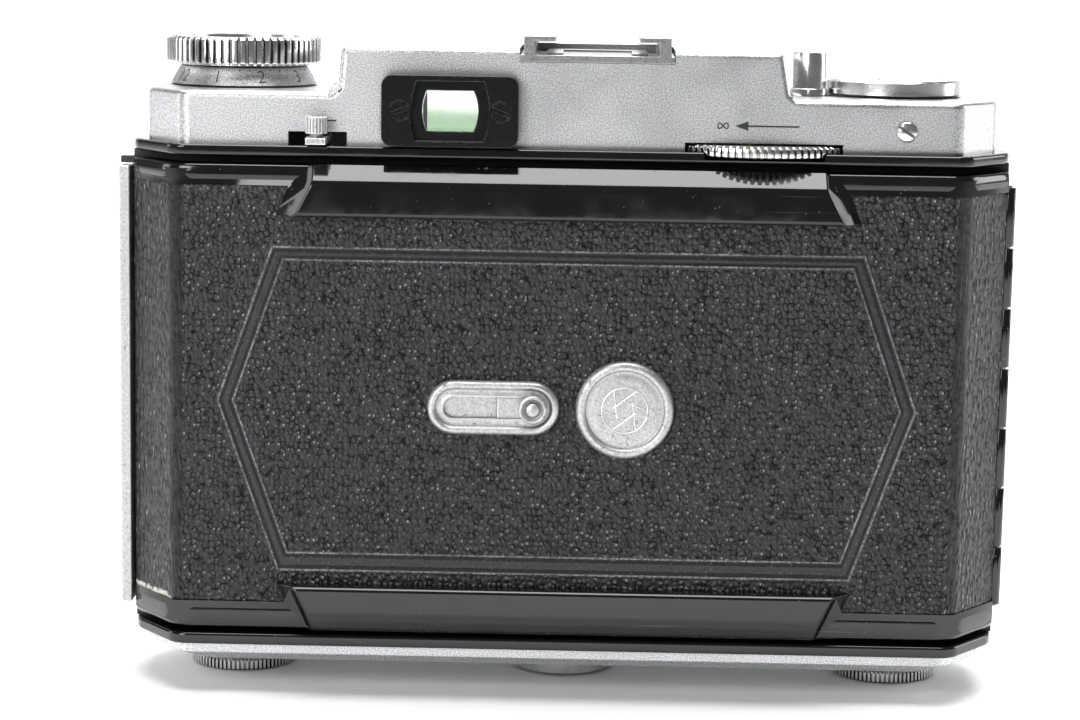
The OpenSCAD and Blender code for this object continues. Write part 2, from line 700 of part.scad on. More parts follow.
module bed() color("dimgray") difference() {
    union() {
        difference() {
            box(-bed_half_w, bed_half_w, 14.5, bed_outer_y, 12.8, bed_top);
            box(bed_wall - bed_half_w, bed_half_w - bed_wall, 14, bed_inner_y, 12, bed_top - bed_wall);
            box(-bed_half_w - 1, bed_half_w + 1, 14, bed_hinge_y - 2, 12, 14.6);
        }
        for (x = [-20, 0, 20]) {
            rod_x(bed_hinge_y, bed_hinge_z, 1.8, x - 4.8, x + 4.8);
            box(x - 4.8, x + 4.8, bed_hinge_y, bed_outer_y, bed_hinge_z, 15);
        }
        box(-4, 4, 11, 15, 78.4, 79.6);
        box(-4, 4, 14.5, 15.7, 78.4, bed_top);
    }
    rod_x(bed_hinge_y, bed_hinge_z, 0.98, -50, 50);
    for (x = [-30, -10, 10, 30]) rod_x(bed_hinge_y, bed_hinge_z, 2.1, x - 5.2, x + 5.2);
}

module bed_leather() color("black")
    plate_y(round_box(bed_half_w - 2, 32.6, 2), bed_outer_y, bed_outer_y + skin, 0, 48);

module bed_hinge_pin() color("gray") rod_x(bed_hinge_y, bed_hinge_z, 0.9, -35, 35);

module bed_release_button() color("gainsboro") {
    rod_y(bed_button_x, bed_button_z, 2.2, 10, housing_front + 2.6);
    rod_y(bed_button_x, bed_button_z, 2.8, 9, 10.8);
}

// One strut on the +X side: a flat bar, its pivot eye and the pin that runs in the standard's slot.
module strut() {
    pin = pin_path(0);
    difference() {
        union() {
            rod_x(strut_pivot[0], strut_pivot[1], 2.5, strut_x0, strut_x1);
            rod_x(pin[0], pin[1], 2.5, strut_x0, strut_x1);
            translate([0, strut_pivot[0], strut_pivot[1]]) rotate([strut_a0, 0, 0])
                box(strut_x0, strut_x1, -1.9, 1.9, -strut_len, 0);
        }
        rod_x(strut_pivot[0], strut_pivot[1], strut_pin_r + 0.05, 30, 40);
    }
    rod_x(pin[0], pin[1], strut_pin_r, 31.8, strut_x0 + 0.1);
}

module strut_left() color("silver") mirror([1, 0, 0]) strut();

module strut_right() color("silver") strut();

// The slot, with a pocket inside the hook at its lower end.
module strut_slot() {
    start = pin_path(0);
    end = pin_path(1);
    plate_x(concat(
        [for (k = [0:slot_steps]) slot_edge(k / slot_steps, 1)],
        arc(end[0], end[1], slot_half, way_angle(1) - 75, way_angle(1) + 75, 6),
        [for (k = [slot_steps:-1:slot_steps * 0.6]) slot_edge(k / slot_steps, -1)],
        arc(start[0], start[1], slot_half, 45, 175, 6)), 30, 36);
}

// Plate that carries the shutter, with side ears cut by the struts' curved slots.
module front_standard() color("gainsboro") difference() {
    union() {
        box(-ear_x1, ear_x1, -2, -0.5, 20, 74);
        both_sides()
            plate_x([[-2, 22], [-0.5, 22], [4.6, 23.4], [7.8, 27.4], [7.8, 48.6], [-0.5, 52], [-2, 52]],
                ear_x0, ear_x1);
    }
    rod_y(0, axis_z, 13.2, -5, 5);
    both_sides() strut_slot();
}

module bellows() color("black") difference() {
    box(-31.5, 31.5, -8.1, -2.1, axis_z - 31.5, axis_z + 31.5);
    box(-28, 28, -9, -1, axis_z - 28, axis_z + 28);
}

module shutter_housing() color("dimgray") difference() {
    rod_y(0, axis_z, shutter_r, -0.5, 8);
    rod_y(0, axis_z, 13.05, -1, 9);
    rod_y(0, axis_z, shutter_r - 0.4, 7.2, 9);
}

module speed_ring() color("silver") difference() {
    translate([0, 8.7, axis_z]) rotate([90, 0, 0])
        linear_extrude(1.2) polygon(toothed(72, shutter_r - 0.5, shutter_r - 0.8, 0.34, 0.2));
    rod_y(0, axis_z, 13.5, 5, 12);
}

module ring_with_tab(y0, y1, tab_angle, tab_r) {
    difference() {
        rod_y(0, axis_z, shutter_r + 1.3, y0, y1);
        rod_y(0, axis_z, shutter_r + 0.08, y0 - 1, y1 + 1);
    }
    translate([0, 0, axis_z]) rotate([0, tab_angle, 0]) box(-1.2, 1.2, y0, y1, shutter_r + 0.6, tab_r);
}

module aperture_ring() color("silver") ring_with_tab(0.2, 1.8, -35, shutter_r + 4);

module cocking_ring() color("silver") ring_with_tab(3.4, 4.8, 20, shutter_r + 5);

module lens_barrel() color("black") difference() {
    union() {
        rod_y(0, axis_z, 13, -0.4, 9.5);
        rod_y(0, axis_z, barrel_r, 9.2, 13);
    }
    rod_y(0, axis_z, 9.5, -1, 14);
    rod_y(0, axis_z, 11, 9.4, 14);
}

module front_element() color("lightcyan") translate([0, 0, axis_z]) rotate([-90, 0, 0]) intersection() {
    translate([0, 0, 9.5]) cylinder(r = 10.95, h = 4, $fn = 192);
    translate([0, 0, -13.6]) sphere(r = 26, $fn = 192);
}

module rear_cell() color("black") difference() {
    rod_y(0, axis_z, 9.4, -7, -0.4);
    rod_y(0, axis_z, 7.5, -8, -4.5);
    rod_y(0, axis_z, 7.5, -3, 1);
}

body_casting();
front_leather();
upper_flange();
lower_flange();
bottom_plate();
tripod_socket();
tripod_collar();
top_housing();
accessory_shoe();
shoe_spring();
eyepiece_plate();
eyepiece_lens();
eyepiece_screws();
housing_screws();
finder_frame();
rangefinder_frame();
front_windows();
beam_splitter();
release_collar();
release_button();
release_spring();
wind_knob();
wind_shaft();
take_up_spool();
counter_dial();
focus_wheel();
focus_cam();
distance_dial();
rangefinder_arm();
film_carriage();
film_rollers();
pressure_plate();
advance_lock_lever();
spool_knob_left();
spool_knob_right();
back_door();
door_leather();
window_plate();
red_window();
window_slider();
door_medallion();
door_hinge_leaf();
body_hinge_leaf();
door_hinge_pin();
latch_plate();
bed();
bed_leather();
bed_hinge_pin();
bed_release_button();
strut_left();
strut_right();
front_standard();
bellows();
shutter_housing();
speed_ring();
aperture_ring();
cocking_ring();
lens_barrel();
front_element();
rear_cell();
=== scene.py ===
"""Looks of a folding roll-film camera seen from behind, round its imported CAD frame. Metres, +Z up."""

import math

import bmesh
import bpy
from mathutils import Matrix, Vector, noise


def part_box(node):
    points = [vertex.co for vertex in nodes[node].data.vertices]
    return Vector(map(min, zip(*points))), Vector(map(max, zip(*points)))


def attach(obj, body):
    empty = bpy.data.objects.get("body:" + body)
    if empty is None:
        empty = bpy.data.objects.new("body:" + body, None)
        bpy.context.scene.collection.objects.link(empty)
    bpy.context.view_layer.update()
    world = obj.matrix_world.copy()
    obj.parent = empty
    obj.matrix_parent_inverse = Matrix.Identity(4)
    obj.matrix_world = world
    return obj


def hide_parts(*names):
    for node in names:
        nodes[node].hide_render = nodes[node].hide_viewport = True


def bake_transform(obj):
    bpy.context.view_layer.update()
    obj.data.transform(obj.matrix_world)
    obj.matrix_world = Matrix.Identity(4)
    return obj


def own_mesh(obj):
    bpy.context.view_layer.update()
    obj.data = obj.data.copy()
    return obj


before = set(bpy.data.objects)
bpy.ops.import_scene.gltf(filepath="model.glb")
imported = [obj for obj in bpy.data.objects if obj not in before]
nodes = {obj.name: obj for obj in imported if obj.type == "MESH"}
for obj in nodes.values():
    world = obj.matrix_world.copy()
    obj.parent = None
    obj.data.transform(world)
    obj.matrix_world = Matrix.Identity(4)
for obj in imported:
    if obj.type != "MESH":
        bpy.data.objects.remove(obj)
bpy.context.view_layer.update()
MM = 0.001


# ---------------------------------------------------------------- measures taken from the frame

def middle(node):
    low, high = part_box(node)
    return (low + high) / 2


def turned_measures(node):
    """Place of a turned node's axis, and its radius, foot and top in millimetres."""
    low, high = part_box(node)
    axis = middle(node)
    axis.z = 0
    return axis, (high.x - low.x) / 2 / MM, low.z / MM, high.z / MM


DOOR_LOW, DOOR_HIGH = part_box("back_door")
LEATHER_LOW, LEATHER_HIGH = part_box("door_leather")
HOUSING_LOW, HOUSING_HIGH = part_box("top_housing")
SHOULDER_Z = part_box("counter_dial")[0].z - 0.3 * MM
REAR_Y = LEATHER_LOW.y
HALF_W = -LEATHER_LOW.x
CORNER = (7.5 * MM, 10 * MM)  # how far a slanted corner of the body runs along X and along Y


# ---------------------------------------------------------------- camera, lights and floor

def linked(name, data):
    """A new object of data, put in the scene."""
    item = bpy.data.objects.new(name, data)
    bpy.context.scene.collection.objects.link(item)
    return item


def aim(yaw, pitch, roll):
    """Camera axes from a turn about Z, a tilt down and a roll, in degrees."""
    y, p, r = (math.radians(a) for a in (yaw, pitch, roll))
    forward = Vector((math.sin(y) * math.cos(p), math.cos(y) * math.cos(p), -math.sin(p)))
    right = Vector((math.cos(y), -math.sin(y), 0))
    up = right.cross(forward)
    right, up = math.cos(r) * right + math.sin(r) * up, math.cos(r) * up - math.sin(r) * right
    return Matrix((right, up, -forward)).transposed()


def make_camera():
    data = bpy.data.cameras.new("view_camera")
    data.sensor_width = 36
    data.lens = 94.53
    data.clip_start = 0.01
    camera = linked("view_camera", data)
    place = Vector((3.8, -448.4, 117.5)) * MM
    camera.matrix_world = Matrix.Translation(place) @ aim(yaw=-1.05, pitch=8.56, roll=0.9).to_4x4()
    bpy.context.scene.camera = camera


def softbox(name, place, target, width, height, radiance):
    """A soft rectangular lamp whose face has the given radiance."""
    data = bpy.data.lights.new(name, "AREA")
    data.shape = "RECTANGLE"
    data.size = width
    data.size_y = height
    data.energy = radiance * math.pi * width * height
    lamp = linked(name, data)
    way = Vector(target) - Vector(place)
    lamp.matrix_world = Matrix.Translation(place) @ way.to_track_quat("-Z", "Y").to_matrix().to_4x4()


def make_world():
    """Dim grey for light and reflections, white where the camera sees past the floor."""
    world = bpy.data.worlds.new("studio")
    bpy.context.scene.world = world
    world.use_nodes = True
    tree = world.node_tree
    tree.nodes.clear()
    path = tree.nodes.new("ShaderNodeLightPath")
    dim = tree.nodes.new("ShaderNodeBackground")
    dim.inputs["Color"].default_value = (0.95, 0.98, 1, 1)
    dim.inputs["Strength"].default_value = 0.15
    white = tree.nodes.new("ShaderNodeBackground")
    white.inputs["Color"].default_value = (1, 1, 1, 1)
    white.inputs["Strength"].default_value = 1
    mix = tree.nodes.new("ShaderNodeMixShader")
    out = tree.nodes.new("ShaderNodeOutputWorld")
    tree.links.new(path.outputs["Is Camera Ray"], mix.inputs[0])
    tree.links.new(dim.outputs[0], mix.inputs[1])
    tree.links.new(white.outputs[0], mix.inputs[2])
    tree.links.new(mix.outputs[0], out.inputs["Surface"])


def make_sweep():
    """White floor that curves up into a backdrop behind the object."""
    near, bend, radius, top, half, steps = -0.62, 1.1, 0.5, 1.6, 2.2, 12
    profile = [(near, 0.0), (bend, 0.0)]
    for k in range(1, steps + 1):
        a = math.radians(90 * k / steps)
        profile.append((bend + radius * math.sin(a), radius * (1 - math.cos(a))))
    profile.append((bend + radius, top))
    work = bmesh.new()
    skin(work, [[work.verts.new((x, y, z)) for x in (-half, half)] for y, z in profile])
    mesh = bpy.data.meshes.new("sweep")
    work.to_mesh(mesh)
    mesh.shade_smooth()
    sweep = linked("sweep", mesh)
    shade = Shade("white_paper")
    mesh.materials.append(shade.done((0.9, 0.905, 0.91, 1), 0.85, specular=0.2))


def make_lights():
    softbox("key_left", (-0.62, -1.0, 0.5), (0, 0, 0.05), 0.6, 0.7, 7.5)
    softbox("side_left", (-0.95, 0.1, 0.3), (0, 0, 0.05), 0.4, 0.5, 3)
    softbox("side_right", (0.93, 0.25, 0.3), (0, 0, 0.05), 0.4, 0.5, 4.5)
    softbox("overhead", (0, 0.0, 0.95), (0, 0, 0), 0.75, 0.75, 8)
    softbox("backdrop_light", (0, 0.7, 1.2), (0, 1.3, 0), 1.6, 0.5, 7)
    softbox("front_fill", (0.3, 1.0, 0.8), (0, 0, 0.05), 0.6, 0.4, 2.5)


# ---------------------------------------------------------------- materials

class Shade:
    """One procedural material round a Principled shader. Places are metres in the object's own frame."""

    def __init__(self, name):
        self.material = bpy.data.materials.new(name)
        self.material.use_nodes = True
        self.tree = self.material.node_tree
        self.shader = self.tree.nodes["Principled BSDF"]
        self.place = self.add("ShaderNodeTexCoord").outputs["Object"]

    def add(self, kind, inputs=None, **settings):
        node = self.tree.nodes.new(kind)
        for key, value in settings.items():
            setattr(node, key, value)
        for key, value in (inputs or {}).items():
            self.feed(node.inputs[key], value)
        return node

    def feed(self, socket, value):
        if isinstance(value, bpy.types.NodeSocket):
            self.tree.links.new(value, socket)
        else:
            socket.default_value = value

    def put(self, name, value):
        self.feed(self.shader.inputs[name], value)

    def scaled(self, x, y, z):
        return self.add("ShaderNodeMapping", {"Vector": self.place, "Scale": (x, y, z)}).outputs[0]

    def grain(self, size, detail=2.0, rough=0.5, place=None):
        """Noise whose lumps are about size metres across."""
        return self.add("ShaderNodeTexNoise", {
            "Vector": place or self.place, "Scale": 1 / size, "Detail": detail, "Roughness": rough,
        }).outputs["Fac"]

    def cells(self, size, feature="F1", place=None, randomness=1.0):
        inputs = {"Vector": place or self.place, "Scale": 1 / size, "Randomness": randomness}
        return self.add("ShaderNodeTexVoronoi", inputs, feature=feature).outputs

    def specks(self, spacing, low, high, patch, patch_low, patch_high, detail=2.0):
        """Small round specks about spacing apart, in patches only."""
        dots = self.ramp(self.cells(spacing)["Distance"], low, high, 1, 0)
        return self.times(dots, self.ramp(self.grain(patch, detail), patch_low, patch_high))

    def ramp(self, value, low, high, out_low=0.0, out_high=1.0):
        return self.add("ShaderNodeMapRange", {
            "Value": value, "From Min": low, "From Max": high, "To Min": out_low, "To Max": out_high,
        }, interpolation_type="SMOOTHSTEP").outputs[0]

    def calc(self, kind, *values):
        return self.add("ShaderNodeMath", dict(enumerate(values)), operation=kind).outputs[0]

    def times(self, a, b):
        return self.calc("MULTIPLY", a, b)

    def vector(self, kind, a, b):
        return self.add("ShaderNodeVectorMath", {0: a, 1: b}, operation=kind).outputs[0]

    def mix(self, share, a, b):
        """Colour between a and b. Sockets 6 and 7 are the mix node's colours A and B."""
        node = self.add("ShaderNodeMix", data_type="RGBA")
        for socket, value in ((0, share), (6, a), (7, b)):
            self.feed(node.inputs[socket], value)
        return node.outputs[2]

    def relief(self, height, depth, normal=None):
        """Bump whose full height is depth metres."""
        inputs = {"Height": height, "Distance": depth, "Strength": 1.0}
        if normal is not None:
            inputs["Normal"] = normal
        return self.add("ShaderNodeBump", inputs).outputs[0]

    def near_edge(self, reach, low=0.62, high=0.98):
        """1 on convex edges and corners within reach, 0 on open faces."""
        open_share = self.add("ShaderNodeAmbientOcclusion", {"Distance": reach},
                              inside=True, only_local=True, samples=6).outputs["AO"]
        return self.ramp(open_share, low, high, 1.0, 0.0)

    def in_crevice(self, reach, low=0.45, high=0.9):
        """Ambient occlusion mask: 1 deep in corners between pieces, 0 on open faces. What it darkens is
        painted shade.
        """
        open_share = self.add("ShaderNodeAmbientOcclusion", {"Distance": reach}, samples=6).outputs["AO"]
        return self.ramp(open_share, low, high, 1.0, 0.0)

    def split(self, vector):
        return self.add("ShaderNodeSeparateXYZ", {"Vector": vector}).outputs

    def done(self, colour, rough, normal=None, metallic=None, specular=None):
        """Feeds the shader and returns the material. What is None stays at its default."""
        sockets = {"Base Color": colour, "Roughness": rough, "Normal": normal, "Metallic": metallic,
                   "Specular IOR Level": specular}
        for name, value in sockets.items():
            if value is not None:
                self.put(name, value)
        return self.material


def grey(value, tint=(1, 1, 1)):
    return (*(value * channel for channel in tint), 1)


def satin_chrome(name="satin_chrome"):
    """Blasted satin chrome: fine bright grain, cloudy stains, painted shade in the corners."""
    shade = Shade(name)
    fine = shade.grain(0.2 * MM, 3, 0.75)
    cloud = shade.grain(9 * MM, 4, 0.6)
    base = shade.mix(shade.ramp(fine, 0.36, 0.64), grey(0.3, (1, 1.005, 1.02)), grey(0.82, (1, 1.005, 1.02)))
    base = shade.mix(shade.ramp(cloud, 0.52, 0.75, 0, 0.35), base, grey(0.5, (1, 0.99, 0.97)))
    specks = shade.specks(1.7 * MM, 0.05, 0.09, 5 * MM, 0.55, 0.65)
    base = shade.mix(specks, base, grey(0.14, (1, 0.9, 0.75)))
    # Painted shade: a warm dark grey where the corners between pieces are occluded.
    base = shade.mix(shade.in_crevice(1.2 * MM, 0.35, 0.8), base, grey(0.2, (1, 0.97, 0.92)))
    return shade.done(base, shade.ramp(cloud, 0.3, 0.7, 0.31, 0.4), shade.relief(fine, 0.025 * MM), 1.0)


def bright_chrome():
    """Polished plating on turned pieces, with fine turning marks and a little haze."""
    shade = Shade("bright_chrome")
    haze = shade.grain(4 * MM, 4, 0.6)
    turning = shade.grain(0.12 * MM, 2, 0.6)
    base = shade.mix(shade.ramp(haze, 0.4, 0.7), grey(0.8), grey(0.66, (1, 0.99, 0.97)))
    # Painted shade: a warm dark grey in the corners between pieces.
    base = shade.mix(shade.in_crevice(0.7 * MM, 0.3, 0.8), base, grey(0.1, (1, 0.95, 0.88)))
    return shade.done(base, shade.ramp(haze, 0.3, 0.7, 0.16, 0.3), shade.relief(turning, 0.003 * MM), 1.0)


def worn_aluminium():
    """Plated light alloy, scuffed bright on its rims, pitted on its floors, with painted shade in its
    hollows.
    """
    shade = Shade("worn_aluminium")
    cloud = shade.grain(3 * MM, 5, 0.65)
    fine = shade.grain(0.4 * MM, 4, 0.7)
    base = shade.mix(shade.ramp(fine, 0.3, 0.7), grey(0.36, (1, 1, 1.01)), grey(0.6, (1, 1, 1.01)))
    base = shade.mix(shade.near_edge(0.25 * MM), base, grey(0.9))
    pits = shade.ramp(shade.grain(0.7 * MM, 3, 0.7), 0.6, 0.68)
    pits = shade.times(pits, shade.ramp(cloud, 0.42, 0.6))
    base = shade.mix(shade.times(pits, 0.75), base, grey(0.12, (1, 0.93, 0.82)))
    # Painted shade: the hollows darkened to a brownish grey where occluded, broken up by fine noise.
    hollow_shade = shade.times(shade.in_crevice(0.6 * MM), shade.ramp(fine, 0.3, 0.6, 0.4, 1))
    base = shade.mix(hollow_shade, base, grey(0.06, (1, 0.85, 0.7)))
    dents = shade.calc("SUBTRACT", shade.times(cloud, 1.5), pits)
    normal = shade.relief(dents, 0.05 * MM, shade.relief(fine, 0.02 * MM))
    return shade.done(base, shade.ramp(cloud, 0.3, 0.7, 0.34, 0.5), normal, 0.85)


def enamel():
    """Glossy black stove enamel with chipped edges, hairline scratches and dust."""
    shade = Shade("enamel")
    wave = shade.grain(6 * MM, 2, 0.5)
    breakup = shade.grain(1.1 * MM, 5, 0.7)
    edge = shade.near_edge(0.45 * MM, 0.7, 1.0)
    chips = shade.ramp(shade.times(edge, shade.ramp(breakup, 0.54, 0.76)), 0.25, 0.4)
    scratch = shade.grain(0.5 * MM, 1, 0.5, shade.scaled(0.02, 0.02, 1))
    scratch = shade.ramp(scratch, 0.73, 0.76)
    dust = shade.specks(1.1 * MM, 0.045, 0.075, 7 * MM, 0.5, 0.62)
    base = shade.mix(chips, grey(0.004, (1, 1.03, 1.15)), grey(0.09, (1, 0.83, 0.68)))
    base = shade.mix(shade.times(scratch, 0.3), base, grey(0.12))
    base = shade.mix(shade.times(dust, 0.7), base, grey(0.35, (1, 0.98, 0.95)))
    rough = shade.calc("MAXIMUM", shade.ramp(wave, 0.35, 0.7, 0.05, 0.14), shade.times(chips, 0.5))
    return shade.done(base, rough, shade.relief(wave, 0.035 * MM), specular=0.6)


def black_lacquer():
    """Smooth black lacquer, worn a little greyer on its edges."""
    shade = Shade("black_lacquer")
    fine = shade.grain(0.3 * MM, 3, 0.6)
    edge = shade.near_edge(0.3 * MM, 0.75, 1.0)
    worn = shade.ramp(shade.times(edge, shade.ramp(shade.grain(0.8 * MM, 4), 0.45, 0.7)), 0.2, 0.5)
    base = shade.mix(worn, grey(0.005, (1, 1.02, 1.1)), grey(0.022, (1, 0.97, 0.92)))
    return shade.done(base, shade.ramp(fine, 0.3, 0.7, 0.12, 0.2), shade.relief(fine, 0.004 * MM))


def cast_black():
    """Matt black paint on a die casting."""
    shade = Shade("cast_black")
    crackle = shade.cells(0.6 * MM, "SMOOTH_F1")["Distance"]
    fine = shade.grain(0.25 * MM, 3, 0.6)
    base = shade.mix(fine, grey(0.009), grey(0.022))
    return shade.done(base, shade.ramp(fine, 0.3, 0.7, 0.5, 0.7), shade.relief(crackle, 0.05 * MM))


def hexagon_lines(shade, side, z):
    """Pressed hexagon frame of the back door: how much a place is raised line (painted bright), groove
    beside it (painted dark), band.
    """
    flank_normal = (0.943, 0.333)
    rise = shade.calc("ABSOLUTE", shade.calc("SUBTRACT", z, 46.3 * MM))
    flank = shade.calc("MULTIPLY_ADD", rise, flank_normal[1], shade.times(side, flank_normal[0]))

    def outline(centre, half, reach):
        """Distance out of a hexagon of the given middle height, half height and reach to its flanks."""
        up = shade.calc("ABSOLUTE", shade.calc("SUBTRACT", z, centre * MM))
        return shade.calc("MAXIMUM", shade.calc("SUBTRACT", up, half * MM),
                          shade.calc("SUBTRACT", flank, reach * MM))

    def stripe(edge, offset, reach):
        away = shade.calc("ABSOLUTE", shade.calc("ADD", edge, offset * MM))
        return shade.ramp(away, 0.25 * reach * MM, reach * MM, 1, 0)

    outer = outline(44.9, 25.0, 50.15)
    inner = outline(45.3, 22.7, 47.95)
    lines = shade.calc("ADD", stripe(outer, 0, 0.22), stripe(inner, 0, 0.22))
    grooves = shade.calc("ADD", stripe(outer, 0.5, 0.4), stripe(inner, -0.45, 0.35))
    band = shade.times(shade.ramp(outer, 0.1 * MM, 0.5 * MM, 1, 0), shade.ramp(inner, -0.4 * MM, 0))
    return lines, grooves, band


def leather_shade(name, lined=False):
    """Black leather embossed with fine pebbles, with painted shade in the valleys between them and painted
    glints on their tops. Lined adds the back door's hexagon frame, a torn corner and painted highlights
    where its top edge crinkles.
    """
    shade = Shade(name)
    x, _, z = shade.split(shade.place)
    side = shade.calc("ABSOLUTE", x)
    warp = shade.add("ShaderNodeTexNoise", {"Vector": shade.place, "Scale": 1 / (2.4 * MM), "Detail": 3.0})
    shift = shade.vector("SUBTRACT", warp.outputs["Color"], (0.5, 0.5, 0.5))
    spot = shade.vector("ADD", shade.place, shade.vector("MULTIPLY", shift, (0.5 * MM,) * 3))
    corner = shade.ramp(side, HALF_W - CORNER[0] - 1.5 * MM, HALF_W - CORNER[0] + 1 * MM)
    tall = shade.calc("MULTIPLY_ADD", corner, -0.4, 0.9)
    stretch = shade.add("ShaderNodeCombineXYZ", {"X": 1.15, "Y": 0.7, "Z": tall}).outputs[0]
    spot = shade.vector("MULTIPLY", spot, stretch)
    glint_spot = shade.vector("ADD", spot, (-0.14 * MM, 0, -0.16 * MM))

    def pebbles(feature, place):
        return shade.cells(0.88 * MM, feature, place, 0.72)

    fine = shade.grain(0.25 * MM, 3, 0.65, spot)
    pebble = pebbles("F1", spot)
    dome = shade.ramp(pebble["Distance"], 0.12, 0.62, 1, 0)
    sunk = shade.split(pebble["Color"])[1]
    sunk = shade.times(shade.ramp(sunk, 0.45, 0.8), shade.ramp(dome, 0.15, 0.6, 0, 0.8))
    # Painted shade: valley is how much the creases between pebbles are darkened.
    valley = shade.ramp(pebbles("DISTANCE_TO_EDGE", spot)["Distance"], 0.0, 0.26, 1, 0)
    valley = shade.times(valley, shade.ramp(shade.grain(0.8 * MM, 2, 0.5), 0.35, 0.65, 0.25, 1))
    # Painted highlights: glint is a bright dot near the top of each pebble, stronger in patches.
    top = pebbles("F1", glint_spot)
    tone = shade.split(top["Color"])[0]
    patches = shade.ramp(shade.grain(9 * MM, 4, 0.6), 0.35, 0.65, 0.5, 1)
    glint = shade.times(shade.ramp(top["Distance"], 0.06, 0.3, 1, 0),
                        shade.times(shade.ramp(tone, 0.3, 0.9, 0.1, 1.2), patches))
    height = shade.calc("MULTIPLY_ADD", fine, 0.25, shade.times(dome, 0.8))
    if lined:
        lines, grooves, band = hexagon_lines(shade, side, z)
        smooth = shade.calc("MULTIPLY_ADD", band, -0.8, 1.0)
        height = shade.calc("MULTIPLY_ADD", shade.calc("SUBTRACT", height, 0.5), smooth, 0.5)
        height = shade.calc("MULTIPLY_ADD", lines, 0.4, shade.calc("MULTIPLY_ADD", grooves, -0.3, height))
        # The grooves beside the hexagon lines are darkened too: painted shade.
        valley = shade.calc("MAXIMUM", shade.times(valley, smooth), shade.times(grooves, 0.6))
        glint = shade.times(glint, smooth)
        sunk = shade.times(sunk, smooth)
        # Painted highlights: broken bright dots along the raised hexagon lines.
        dotted = shade.ramp(shade.grain(0.45 * MM, 2, 0.5), 0.4, 0.6, 0.2, 0.9)
        glint = shade.calc("MAXIMUM", glint, shade.times(lines, shade.times(dotted, patches)))
    base = shade.mix(shade.ramp(fine, 0.35, 0.65), grey(0.008, (1, 1.04, 1.2)), grey(0.026, (1, 1.04, 1.18)))
    # Painted shade in the valleys and grooves, together with pebbles that are darker at random.
    base = shade.mix(shade.calc("MAXIMUM", valley, sunk), base, grey(0.003, (1, 1.03, 1.15)))
    base = shade.mix(glint, base, grey(0.26, (1, 1.02, 1.05)))
    if lined:
        torn = shade.times(shade.ramp(z, LEATHER_LOW.z + 0.3 * MM, LEATHER_LOW.z + 2.4 * MM, 1, 0),
                         shade.ramp(x, -HALF_W + 5 * MM, -HALF_W + 11 * MM, 1, 0))
        torn = shade.ramp(shade.times(torn, shade.grain(0.8 * MM, 5, 0.75)), 0.36, 0.5)
        base = shade.mix(torn, base, grey(0.5, (1, 0.98, 0.9)))
        # Painted highlights: lighter leather near the top edge where it crinkles.
        crinkle_highlight = shade.ramp(z, LEATHER_HIGH.z - 2.2 * MM, LEATHER_HIGH.z - 0.2 * MM)
        crinkle_highlight = shade.times(crinkle_highlight, shade.ramp(shade.grain(0.7 * MM, 4, 0.7), 0.5, 0.7))
        base = shade.mix(shade.times(crinkle_highlight, 0.4), base, grey(0.2))
    dust = shade.specks(1.5 * MM, 0.03, 0.06, 9 * MM, 0.45, 0.58, 3)
    base = shade.mix(shade.times(dust, 0.8), base, grey(0.4, (1, 0.98, 0.94)))
    # Less specular in the valleys, so that the painted shade there stays dark.
    return shade.done(base, shade.ramp(fine, 0.3, 0.7, 0.28, 0.42), shade.relief(height, 0.22 * MM),
                      specular=shade.calc("MULTIPLY_ADD", valley, -0.38, 0.45))


def optical_glass(name, tint, painted_reflection):
    """Slightly smeared glass whose colour passes from tint to a painted reflection over the middle of the
    eyepiece.
    """
    shade = Shade(name)
    smear = shade.grain(3 * MM, 3, 0.6)
    upper = shade.calc("MULTIPLY_ADD", smear, 1.5 * MM, shade.split(shade.place)[2])
    shade.put("Transmission Weight", 1.0)
    shade.put("IOR", 1.5)
    # Painted reflection: the glass turns to the reflection colour above the eyepiece's middle.
    base = shade.mix(shade.ramp(upper, 91 * MM, 92.8 * MM), tint, painted_reflection)
    return shade.done(base, shade.ramp(smear, 0.45, 0.8, 0.0, 0.06))


def plain(name, lump, detail, breakup, dark, light, rough, depth=0.0, metallic=0.0):
    """A material of one noise with lumps of the given size, between two colours. Lump and depth in mm."""
    shade = Shade(name)
    cloud = shade.grain(lump * MM, detail, breakup)
    normal = shade.relief(cloud, depth * MM) if depth else None
    return shade.done(shade.mix(cloud, dark, light), shade.ramp(cloud, 0.3, 0.7, *rough), normal, metallic)


def make_materials():
    return {
        "satin_chrome": satin_chrome(),
        "bright_chrome": bright_chrome(),
        "steel": plain("steel", 0.35, 4, 0.7, grey(0.3), grey(0.46, (1, 0.99, 0.97)), (0.25, 0.42), 0.01, 1),
        "worn_aluminium": worn_aluminium(),
        "enamel": enamel(),
        "black_lacquer": black_lacquer(),
        "cast_black": cast_black(),
        "leather": leather_shade("leather"),
        "door_grain": leather_shade("door_grain", lined=True),
        "brass": plain("brass", 2, 4, 0.6, (0.62, 0.42, 0.16, 1), (0.8, 0.6, 0.28, 1), (0.2, 0.38), 0, 1),
        # The eyepiece glass's second colour is a painted whitish reflection on its upper part.
        "optical_glass": optical_glass("optical_glass", (0.7, 0.79, 0.69, 1), (0.95, 0.97, 0.94, 1)),
        "ruby_glass": optical_glass("ruby_glass", (0.55, 0.01, 0.01, 1), (0.4, 0.005, 0.005, 1)),
        "spool_red": plain("spool_red", 4, 4, 0.6, (0.3, 0.02, 0.015, 1), (0.42, 0.04, 0.025, 1),
                           (0.3, 0.5), 0.02),
        "bellows_cloth": plain("bellows_cloth", 0.25, 2, 0.6, grey(0.008), grey(0.022), (0.5, 0.75), 0.05),
        "black_paint": plain("black_paint", 0.15, 3, 0.6, grey(0.008), grey(0.03), (0.4, 0.6)),
    }


# ---------------------------------------------------------------- mesh helpers

